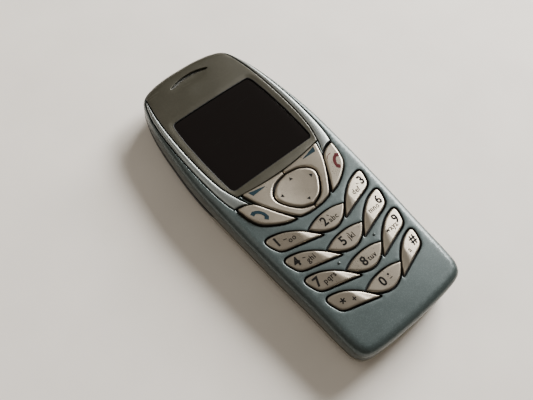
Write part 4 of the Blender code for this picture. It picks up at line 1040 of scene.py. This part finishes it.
def key_height(edges, proud, radius=0.42, crease=0.0, row=0, bowl=0.0):
    outline = ring_of(edges)

    def height_of(flat):
        level = face_height(flat[:, 0], flat[:, 1]) + proud - edge_drop(flat, outline, radius)
        level = level + bowl * (np.abs(flat[:, 0]) - 8.0)
        if crease:
            side = np.abs(flat[:, 0]) - ROW_TAPER[row] * 0.2
            up = flat[:, 1] + ROW_PITCH * row
            beyond = (7.6 + (up + 17.2) * 0.45) - side
            past = np.logaddexp(0, beyond / 0.2) * 0.2
            level = level - crease * (1 - np.exp(-past / 1.9)) - OUTER_TILT * np.maximum(0, side - 9.5)
        return level

    return height_of


STEMS = {"call_key": (-14.4, -3.2), "end_key": (14.4, -3.2), "soft_key_left": (-10.3, 0.9),
         "soft_key_right": (10.3, 0.9)}
for row, names in enumerate(KEY_ROWS):
    x = 12.6 - ROW_TAPER[row] * 8.1 / 13.5
    STEMS.update({names[0]: (-x, -13.2 - ROW_PITCH * row), names[1]: (0.0, -15.9 - ROW_PITCH * row),
                  names[2]: (x, -13.2 - ROW_PITCH * row)})


def add_stem(item, place, radius, low):
    """The round stem under a key, which presses the dome."""
    made = bmesh.new()
    made.from_mesh(item.data)
    turn = Matrix.Translation((place[0] * MM, place[1] * MM, (low + CAP_Z + 0.4) / 2 * MM))
    stem = bmesh.ops.create_cone(made, cap_ends=True, segments=24, radius1=radius * 0.92 * MM, radius2=radius * MM,
                                 depth=(CAP_Z + 0.4 - low) * MM, matrix=turn)
    for face in {f for vertex in stem["verts"] for f in vertex.link_faces}:
        face.material_index = 1
    made.to_mesh(item.data)
    made.free()


CAPS = {}
for name, edges in KEYS.items():
    row, wing = ROW_OF.get(name, 0), name in WINGS
    bowl = KEY_BOWL if name.startswith("soft") or name == "call_key" else 0.0
    height_of = key_height(edges, KEY_PROUD, crease=CREASE_DEEP if wing else 0.0, row=row, bowl=bowl)
    # Each key top keeps a black band along its edge, wider on the soft keys: painted shade that dims the rim highlight.
    cap = patch(name + "_cap", edges, height_of, lambda flat: np.full(len(flat), CAP_Z), across=17,
                along=90 if wing else 60, painted_shade_band=0.2 if name.startswith("soft") else 0.12)
    add_stem(cap, STEMS[name], STEM_RADIUS, low_mm(name).z)
    mark_rim(cap, [ring_of(edges)], 0.30)
    CAPS[name] = finished(cap, name, [key_silver, black_wall_and_shade], "key_silver", name)


def nav_height(flat):
    """The navigation key is dished in the middle and raised along its rim."""
    x, y = flat[:, 0], flat[:, 1] + NAV_MIDDLE_Y
    bowl = NAV_BOWL * np.clip(1 - (x / 7.0) ** 2 - (y / 5.4) ** 2, 0, 1)
    return face_height(flat[:, 0], flat[:, 1]) + NAV_PROUD - edge_drop(flat, NAV, NAV_ROUND) - bowl


cap = patch("nav_cap", NAV_EDGES, nav_height, lambda flat: np.full(len(flat), CAP_Z), across=31, along=70,
            painted_shade_band=0.2)
mark_rim(cap, [NAV], 0.3)
CAPS["nav_key"] = finished(cap, "nav_key", [key_silver, black_wall_and_shade], "key_silver", "nav_key")
print("keys built:", len(KEYS) + 1)

# %% [markdown]
# ## Legends
# The printed marks are thin flat shapes laid on the key tops. Each mark starts as an outline in the plane, is filled
# with small triangles, and is then draped over the key's own height.


# %% Drape helpers
PRINT_HIGH, PRINT_DEEP = 0.04, 0.05
def draped(name, outlines, height_of, body, material, slot="key_silver", thick=0.035):
    """A thin printed mark over a key. The outlines are lists of rings, each a closed line."""
    points, faces = [], []
    for outline in outlines:
        flat, triangles, rim = flat_sheet(densified(outline, 0.12), [], 0.3, rims=(0.05,))
        start, count = len(points), len(flat)
        level = height_of(flat)
        points += [*np.column_stack([flat, level + thick]), *np.column_stack([flat, level - 0.06])]
        faces += [[start + i for i in f] for f in triangles]
        faces += [[start + count + i for i in f[::-1]] for f in triangles]
        faces += [[start + b, start + a, start + a + count, start + b + count] for a, b in rim]
    item = shape(name, points, faces)
    return finished(item, body, material, slot)


def stroke(points, wide):
    """The outline of a line of some width."""
    line = smooth_line(points, 6) if len(points) > 2 else even_line(points, 5)
    ahead = np.gradient(line, axis=0)
    ahead /= np.linalg.norm(ahead, axis=1)[:, None]
    side = np.column_stack([-ahead[:, 1], ahead[:, 0]]) * wide / 2
    return np.vstack([line + side, (line - side)[::-1]])


def lettering(name, pieces, height_of, body, material):
    """Printed characters in the built-in typeface: for each a text, its middle, height, width share and weight."""
    made = bmesh.new()
    for text, (x, y), size, stretch, weight in pieces:
        curve = bpy.data.curves.new("letters", "FONT")
        curve.body = text
        curve.align_x, curve.align_y = "CENTER", "CENTER"
        curve.size = size * 1.38
        curve.resolution_u = 3
        curve.extrude = 0.01
        curve.offset = weight * size
        curve.space_character = 1.0 + 6 * weight
        item = bpy.data.objects.new("letters", curve)
        bpy.context.scene.collection.objects.link(item)
        bpy.context.view_layer.update()
        mesh = bpy.data.meshes.new_from_object(item.evaluated_get(bpy.context.evaluated_depsgraph_get()))
        bpy.data.objects.remove(item)
        local = np.array([v.co[:2] for v in mesh.vertices])
        middle = (local.min(0) + local.max(0)) / 2
        for vertex in mesh.vertices:
            vertex.co.x = (vertex.co.x - middle[0]) * stretch + x
            vertex.co.y += y - middle[1]
        made.from_mesh(mesh)
        bpy.data.meshes.remove(mesh)
    bmesh.ops.remove_doubles(made, verts=made.verts, dist=1e-4)
    bmesh.ops.triangulate(made, faces=made.faces)
    flat = np.array([v.co[:2] for v in made.verts])
    level = height_of(flat)
    for vertex, z in zip(made.verts, level):
        vertex.co.z = z + (PRINT_HIGH if vertex.co.z > 0 else -PRINT_DEEP)
    return finished(from_bmesh(name, made), body, material, "key_silver")


def on_top(item):
    """A function that gives the height of a piece's top in millimetres."""
    mesh = item.data
    tree = BVHTree.FromPolygons([v.co / MM for v in mesh.vertices], [f.vertices[:] for f in mesh.polygons])

    def height_of(flat):
        found = [tree.ray_cast(Vector((x, y, 30.0)), Vector((0, 0, -1)))[0] for x, y in np.asarray(flat).tolist()]
        return np.array([hit.z if hit else FACE_Z - 1 for hit in found])

    return height_of


heights = {name: on_top(item) for name, item in CAPS.items()}

# %% Digits and small letters
DIGITS = {"key_1": ("1", (-15.7, -11.9)), "key_4": ("4", (-15.4, -19.4)), "key_7": ("7", (-14.8, -27.0)),
          "key_2": ("2", (-1.7, -15.5)), "key_5": ("5", (-1.7, -22.9)),
          "key_8": ("8", (-1.3, -30.7)), "key_0": ("0", (-1.4, -37.9)), "key_3": ("3", (15.8, -12.3)),
          "key_6": ("6", (15.2, -19.8)), "key_9": ("9", (14.8, -27.1)), "key_hash": ("#", (14.0, -34.7))}
LETTERS = {"key_1": ("oo", (-11.9, -13.9)), "key_4": ("ghi", (-11.8, -21.3)), "key_7": ("pqrs", (-11.6, -28.7)),
           "key_star": ("+", (-10.6, -36.5)), "key_2": ("abc", (1.1, -16.2)), "key_5": ("jkl", (1.1, -23.5)),
           "key_8": ("tuv", (1.4, -31.1)), "key_3": ("def", (12.2, -14.0)), "key_6": ("mno", (12.2, -21.3)),
           "key_9": ("wxyz", (11.8, -28.8)), "key_hash": ("a", (10.9, -36.4))}
for name, (text, place) in DIGITS.items():
    lettering(name + "_digit", [(text, place, 2.7, 0.95, 0.042)], heights[name], name, print_dark)
rays = [stroke([(0.0, 0.0), (0.85 * math.sin(t), 0.85 * math.cos(t))], 0.34) + (-13.3, -35.0)
        for t in np.linspace(0, 2 * math.pi, 6)[:-1]]
draped("key_star_rays", rays, heights["key_star"], "key_star", print_dark)
for name, (text, place) in LETTERS.items():
    size = 1.9 if text == "+" else 1.62
    lettering(name + "_letters", [(text, place, size, 0.9, 0.022)], heights[name], name, print_grey)
SMALL_STROKES = {"key_1": [(-14.0, -12.5), (-13.0, -12.9)], "key_4": [(-13.5, -19.6), (-12.7, -20.0)],
                 "key_2": [(0.1, -14.5), (0.5, -15.1)], "key_5": [(0.6, -21.9), (1.0, -22.4)],
                 "key_3": [(13.7, -12.4), (14.4, -12.9)], "key_0": [(0.6, -38.6), (1.6, -38.6)]}
for name, line in SMALL_STROKES.items():
    draped(name + "_tick", [stroke(line, 0.22)], heights[name], name, print_grey)
turns = np.linspace(0, 2 * math.pi, 24, endpoint=False)
circle = np.column_stack([np.cos(turns), np.sin(turns)])
draped("key_0_dot", [circle * 0.34 + (1.1, -37.4)], heights["key_0"], "key_0", print_grey)

# %% Soft-key wedges, handset marks and arrows
for side, name in ((-1, "left"), (1, "right")):
    mark = np.array([(12.3, 3.95), (12.0, 3.1), (11.7, 2.35), (9.3, 2.5), (7.2, 2.62), (7.2, 2.8), (9.6, 3.35)])
    draped(f"soft_wedge_{name}", [mark * (side, 1)], heights[f"soft_key_{name}"], f"soft_key_{name}", print_teal)


def handset():
    """A telephone handset seen from the side: a bowed grip with two square ends."""
    arc = np.array([(-1.9, 0.0), (-1.0, 0.5), (0.0, 0.66), (1.0, 0.5), (1.9, 0.0)])
    grip = stroke(arc, 0.95)
    ends = [np.array([(-2.35, 0.45), (-2.6, -0.75), (-1.45, -0.95), (-1.2, 0.1)]),
            np.array([(2.35, 0.45), (1.2, 0.1), (1.45, -0.95), (2.6, -0.75)])]
    return [grip, *ends]


def turned(rings, angle, move):
    c, s = math.cos(math.radians(angle)), math.sin(math.radians(angle))
    return [np.column_stack([r[:, 0] * c - r[:, 1] * s, r[:, 0] * s + r[:, 1] * c]) + move for r in rings]


draped("call_mark", turned(handset(), -54, (-14.1, -3.2)), heights["call_key"], "call_key", print_teal)
draped("end_mark", turned(handset(), 54, (14.6, -3.6)), heights["end_key"], "end_key", print_red)
arc = stroke([(12.7, -1.7), (13.6, -0.9), (14.9, -0.7)], 0.2)
draped("end_mark_arc", [arc], heights["end_key"], "end_key", print_red)
arrow = np.array([(0.0, 0.50), (-0.62, -0.42), (0.62, -0.42)])
for number, (angle, place) in enumerate(((0, (0.0, 0.1)), (180, (0.0, -7.8)), (90, (-5.5, -2.6)), (-90, (5.5, -2.6)))):
    draped(f"nav_arrow_{number}", turned([arrow], angle, place), heights["nav_key"], "nav_key", print_dark)
print("legends done")

# %% [markdown]
# ## The earpiece
# The slot over the earpiece is closed by a fine woven mesh. Its grid of wires is made by a small geometry-node tree
# with the pitch and the wire's size as inputs.


# %% Geometry-node helpers
def new_tree(name, inputs):
    tree = bpy.data.node_groups.new(name, "GeometryNodeTree")
    tree.interface.new_socket("Geometry", in_out="INPUT", socket_type="NodeSocketGeometry")
    for label, kind, value in inputs:
        socket = tree.interface.new_socket(label, in_out="INPUT", socket_type="NodeSocket" + kind)
        if value is not None:
            socket.default_value = value
    tree.interface.new_socket("Geometry", in_out="OUTPUT", socket_type="NodeSocketGeometry")
    return tree, tree.nodes.new("NodeGroupInput"), tree.nodes.new("NodeGroupOutput")


def link(tree, source, target):
    tree.links.new(source, target)


def baked(name, tree, inputs):
    """Runs a geometry-node tree on an empty mesh and keeps the result as a plain mesh."""
    item = bpy.data.objects.new(name, bpy.data.meshes.new(name))
    bpy.context.scene.collection.objects.link(item)
    modifier = item.modifiers.new("build", "NODES")
    modifier.node_group = tree
    for socket in tree.interface.items_tree:
        if socket.item_type == "SOCKET" and socket.in_out == "INPUT" and socket.name in inputs:
            modifier[socket.identifier] = inputs[socket.name]
    bpy.context.view_layer.update()
    mesh = bpy.data.meshes.new_from_object(item.evaluated_get(bpy.context.evaluated_depsgraph_get()))
    item.modifiers.clear()
    item.data = mesh
    return item


# %% A lattice of small blocks, used for meshes, chips and contacts
lattice, entry, leave = new_tree("block_lattice", [
    ("Columns", "Int", 4), ("Rows", "Int", 4), ("Pitch X", "Float", 0.001), ("Pitch Y", "Float", 0.001),
    ("Size", "Vector", (0.0005, 0.0005, 0.0005)), ("Middle", "Vector", (0, 0, 0)), ("Material", "Material", None)])
grid = lattice.nodes.new("GeometryNodeMeshGrid")
for axis in ("X", "Y"):
    count = "Columns" if axis == "X" else "Rows"
    less = lattice.nodes.new("ShaderNodeMath")
    less.operation = "SUBTRACT"
    link(lattice, entry.outputs[count], less.inputs[0])
    less.inputs[1].default_value = 1
    span = lattice.nodes.new("ShaderNodeMath")
    span.operation = "MULTIPLY"
    link(lattice, less.outputs[0], span.inputs[0])
    link(lattice, entry.outputs["Pitch " + axis], span.inputs[1])
    link(lattice, span.outputs[0], grid.inputs["Size " + axis])
    link(lattice, entry.outputs[count], grid.inputs["Vertices " + axis])
cube = lattice.nodes.new("GeometryNodeMeshCube")
link(lattice, entry.outputs["Size"], cube.inputs["Size"])
copies = lattice.nodes.new("GeometryNodeInstanceOnPoints")
link(lattice, grid.outputs[0], copies.inputs["Points"])
link(lattice, cube.outputs[0], copies.inputs["Instance"])
moved = lattice.nodes.new("GeometryNodeTransform")
link(lattice, copies.outputs[0], moved.inputs["Geometry"])
link(lattice, entry.outputs["Middle"], moved.inputs["Translation"])
real = lattice.nodes.new("GeometryNodeRealizeInstances")
link(lattice, moved.outputs[0], real.inputs[0])
paint = lattice.nodes.new("GeometryNodeSetMaterial")
link(lattice, real.outputs[0], paint.inputs["Geometry"])
link(lattice, entry.outputs["Material"], paint.inputs["Material"])
link(lattice, paint.outputs[0], leave.inputs[0])


def blocks(name, columns, rows, pitch, size, middle, material):
    """Many small blocks on a lattice, with sizes in millimetres."""
    return baked(name, lattice, {
        "Columns": columns, "Rows": rows, "Pitch X": pitch[0] * MM, "Pitch Y": pitch[1] * MM,
        "Size": [v * MM for v in size], "Middle": [v * MM for v in middle], "Material": material})


slot_y = END_Y - SLOT_BELOW_END
wires = blocks("ear_mesh_wires", 66, 1, (0.2, 0.2), (0.06, 3.4, 0.06), (0, slot_y + 0.2, 0), tin_plate)
across = blocks("ear_mesh_cross", 1, 17, (0.2, 0.2), (13.4, 0.06, 0.06), (0, slot_y + 0.2, 0.02), tin_plate)
for wire in (wires, across):
    for vertex in wire.data.vertices:
        level = float(skin_height(vertex.co.x / MM, vertex.co.y / MM)[0]) - 0.98
        vertex.co.z += level * MM
    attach(wire, "front_cover")
print("earpiece mesh:", len(wires.data.polygons) + len(across.data.polygons))

# %% [markdown]
# ## The back
# The rear shell is one bowl of rings. A sloped seam parts it into the silver battery cover and the dark cap over the
# antenna. Each part is the same closed bowl, cut by a wedge, so the two meet on one line.

# %% Rear shell
REAR_SECTION = [(0.0, 4.6), (0.05, 4.25), (0.14, 3.9), (0.3, 3.45), (0.5, 3.0), (0.82, 2.42), (1.2, 1.9),
                (1.62, 1.42), (2.1, 1.0), (2.6, 0.66), (3.2, 0.4), (3.8, 0.22), (4.4, 0.1), (5.0, 0.03)]
FLOOR_THICK, REAR_WALL, SEAM_GAP = 1.0, 0.8, 0.3
SEAM_FRONT, SEAM_BACK = 7.0, 27.0


def bowl(name):
    """The whole rear shell, inside and outside, as rings."""
    rings = [(z, inset(d)) for z, d in REAR_SECTION]
    rings += [(RIM_Z - 0.12, inset(0.0)), (RIM_Z, inset(0.12)), (RIM_Z, inset(REAR_WALL))]
    inner = [(z, inset(d + REAR_WALL)) for z, d in REAR_SECTION[::-1] if z > FLOOR_THICK]
    rings += inner + [(FLOOR_THICK, inset(3.0 + REAR_WALL))]
    size = len(CASE)
    points = [(x, y, z) for z, ring in rings for x, y in ring]
    faces = []
    for k in range(len(rings) - 1):
        for i in range(size):
            j = (i + 1) % size
            faces.append([k * size + i, k * size + j, (k + 1) * size + j, (k + 1) * size + i])
    faces += [list(range(size))[::-1], [(len(rings) - 1) * size + i for i in range(size)]]
    return shape(name, points, faces)


def wedge(gap):
    front, back = SEAM_FRONT + gap, SEAM_BACK + gap
    slope = (back - front) / RIM_Z
    side = [(-END_Y - 5, -2.0), (back + 2 * slope, -2.0), (front - 3 * slope, RIM_Z + 3), (-END_Y - 5, RIM_Z + 3)]
    wide = HALF_WIDTH + 5
    points = [(x, y, z) for x in (-wide, wide) for y, z in side]
    faces = [[3, 2, 1, 0], [4, 5, 6, 7]] + [[i, (i + 1) % 4, 4 + (i + 1) % 4, 4 + i] for i in range(4)]
    return shape("wedge", points, faces)


notch_low, notch_high = plug_low / MM, plug_high / MM
rear = bowl("battery_cover")
tidy_boolean(rear, [wedge(-SEAM_GAP / 2)], "INTERSECT")
tidy_boolean(rear, [block((notch_low.x - PLUG_SIDE, -END_Y - 2, notch_low.z),
                          (notch_high.x + PLUG_SIDE, -END_Y + PLUG_DEEP, RIM_Z + 2))])
ribs = []
for k in range(7):
    y = -33.5 + 1.6 * k
    half = 9.5 - 0.22 * (k - 3) ** 2
    rib = stroke([(-half, y - 0.5), (-half / 2, y + 0.1), (0, y + 0.3), (half / 2, y + 0.1), (half, y - 0.5)], 0.7)
    ribs.append(prism(rib, -0.5, 0.22))
tidy_boolean(rear, ribs)
tongue = block((-2.2, SEAM_BACK - 8, FLOOR_THICK - 0.6), (2.2, SEAM_BACK + 0.4, FLOOR_THICK))
tidy_boolean(rear, [tongue], "UNION")
mark_rim(rear, [CASE], 0.6)
finished(rear, "rear_cover", rear_silver, "rear_silver", "rear_cover")
print("rear cover:", len(rear.data.polygons))

cap = bowl("antenna_cap")
slot = block((-2.5, SEAM_BACK - 8, -1), (2.5, SEAM_BACK + 0.7, 3))
tidy_boolean(cap, [wedge(SEAM_GAP / 2), slot])
button_low, button_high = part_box("cover_release_button")
button_y = (button_low.y + button_high.y) / 2 / MM


def pill(half_x, half_y, y, count=16):
    turns = np.linspace(-math.pi / 2, math.pi / 2, count)
    right = np.column_stack([half_x - half_y + half_y * np.cos(turns), y + half_y * np.sin(turns)])
    return np.vstack([right, right[::-1] * (-1, 1)])


tidy_boolean(cap, [prism(pill(5.9, 2.2, button_y), -1, 2)])
mark_rim(cap, [CASE], 0.6)
finished(cap, "chassis", dark_plastic, "dark_plastic", "antenna_cover")
print("antenna cap:", len(cap.data.polygons))

# %% Release button
RIDGE_LIMIT = 0.02
outline = pill(5.6, 1.9, button_y, 20)
flat, faces, rim = flat_sheet(outline, [], 0.45, rims=(0.08, 0.2, 0.4))
gap, drop = rim_rounding(flat, rim, 0.35)
ridges = 0.10 * np.cos(flat[:, 0] * 2 * math.pi / 0.9) * (np.abs(flat[:, 0]) < 3.2) * np.clip(gap - 0.4, 0, 1)
face = plate("button_cap", flat, faces, rim, np.full(len(flat), 1.3), 0.22 + drop + np.minimum(ridges, RIDGE_LIMIT))
finished(face, "release_button", dark_plastic, "dark_plastic")

# %% [markdown]
# ## Finishes for the engineering pieces
# The inner parts keep their engineering shapes and get real finishes: tinned steel cans, the green board, gold
# contacts and dark mouldings.

# %% Inner finishes
INNER = {
    tin_plate: "rf_shield baseband_shield battery_contacts sim_base screw_1 screw_2 screw_3 screw_4 release_spring "
               "vibration_motor vibration_weight power_switch earpiece_mesh",
    board_green: "circuit_board", gold_plate: "antenna_module",
    white_plastic: "sim_card dome_sheet display_frame",
    silicone: "keypad_mat microphone_boot nav_rocker",
    dark_plastic: "chassis buzzer system_connector charger_socket battery power_key cover_release_button earpiece",
    screen_black: "display_module"}
for material, names in INNER.items():
    for name in names.split():
        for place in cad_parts[name].material_slots:
            place.material = material

# %% [markdown]
# ## Small parts inside
# The lifted front cover shows the board, and the open back shows the battery bay. Rows of small chips, connector
# contacts, battery pads and the card's gold fields come from the same block lattice.

# %% Small parts
board_high = high_mm("circuit_board")
details = [
    ("board_chips", 5, 1, (4.6, 1.0), (2.4, 1.5, 0.4), (0, 44.2, board_high.z + 0.2), dark_plastic),
    ("board_resistors", 12, 2, (1.7, 1.1), (0.9, 0.5, 0.3), (0, 41.2, board_high.z + 0.15), tin_plate),
]
for name, columns, rows, pitch, size, middle, material in details:
    row = blocks(name, columns, rows, pitch, size, middle, material)
    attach(row, "chassis")

sim_low, sim_high = low_mm("sim_card"), high_mm("sim_card")
sim_middle = (sim_low + sim_high) / 2
pads = blocks("card_contacts", 2, 4, (3.9, 2.3), (3.5, 1.9, 0.04), (sim_middle.x - 6.0, sim_middle.y, sim_low.z - 0.01),
              gold_plate)
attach(pads, "chassis")
pack_low, pack_high = low_mm("battery"), high_mm("battery")
pads = blocks("battery_pads", 4, 1, (2.6, 1.0), (1.6, 0.06, 2.2),
              (9.0, pack_high.y + 0.02, (pack_low.z + pack_high.z) / 2), gold_plate)
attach(pads, "chassis")
port_low, port_high = low_mm("system_connector"), high_mm("system_connector")
port_middle = (port_low + port_high) / 2
pins = blocks("port_contacts", 14, 1, (0.8, 1.0), (0.4, 1.6, 0.12),
              (port_middle.x, port_low.y + 1.8, port_middle.z - 0.1), gold_plate)
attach(pins, "chassis")
print("small parts:", len(details) + 3)

# %% [markdown]
# ## Floor and light
# The phone lies on a pale warm surface. One large soft light stands to the right with a small weak one nearer to the
# phone, a wide faint one fills from the far left, and the world gives a little even light.

# %% Floor
made = bmesh.new()
bmesh.ops.create_grid(made, x_segments=2, y_segments=2, size=1500)
floor = from_bmesh("floor", made)
floor_paper = finish("floor_paper", (0.80, 0.755, 0.70), (0.84, 0.80, 0.75), rough=0.7, amount=0.1, specular=0.2,
                     grain_scale=900.0, bump=0.02, scratch=0.0, rough_change=0.02)
floor.data.materials.append(floor_paper)


# %% Lights
def soft_light(name, place, power, size, colour=(1, 1, 1), aim=(0, 0, 0)):
    lamp = bpy.data.lights.new(name, "AREA")
    lamp.energy, lamp.size, lamp.color = power, size, colour
    item = bpy.data.objects.new(name, lamp)
    item.location = place
    item.rotation_euler = (Vector(aim) - Vector(place)).to_track_quat("-Z", "Y").to_euler()
    bpy.context.scene.collection.objects.link(item)


soft_light("window_light", (0.82, 0.25, 0.42), 26.0, 0.52, (1.0, 0.985, 0.95))
soft_light("overhead_light", (0.52, 0.03, 0.43), 3.4, 0.17, (1.0, 0.99, 0.97))
soft_light("fill_light", (-0.35, 0.45, 0.8), 2.2, 0.8, (1.0, 0.94, 0.84))
world = bpy.data.worlds.new("world")
world.use_nodes = True
world.node_tree.nodes["Background"].inputs["Color"].default_value = (1.0, 0.90, 0.76, 1)
world.node_tree.nodes["Background"].inputs["Strength"].default_value = 0.25
bpy.context.scene.world = world

# %% The end
print("end of scene")
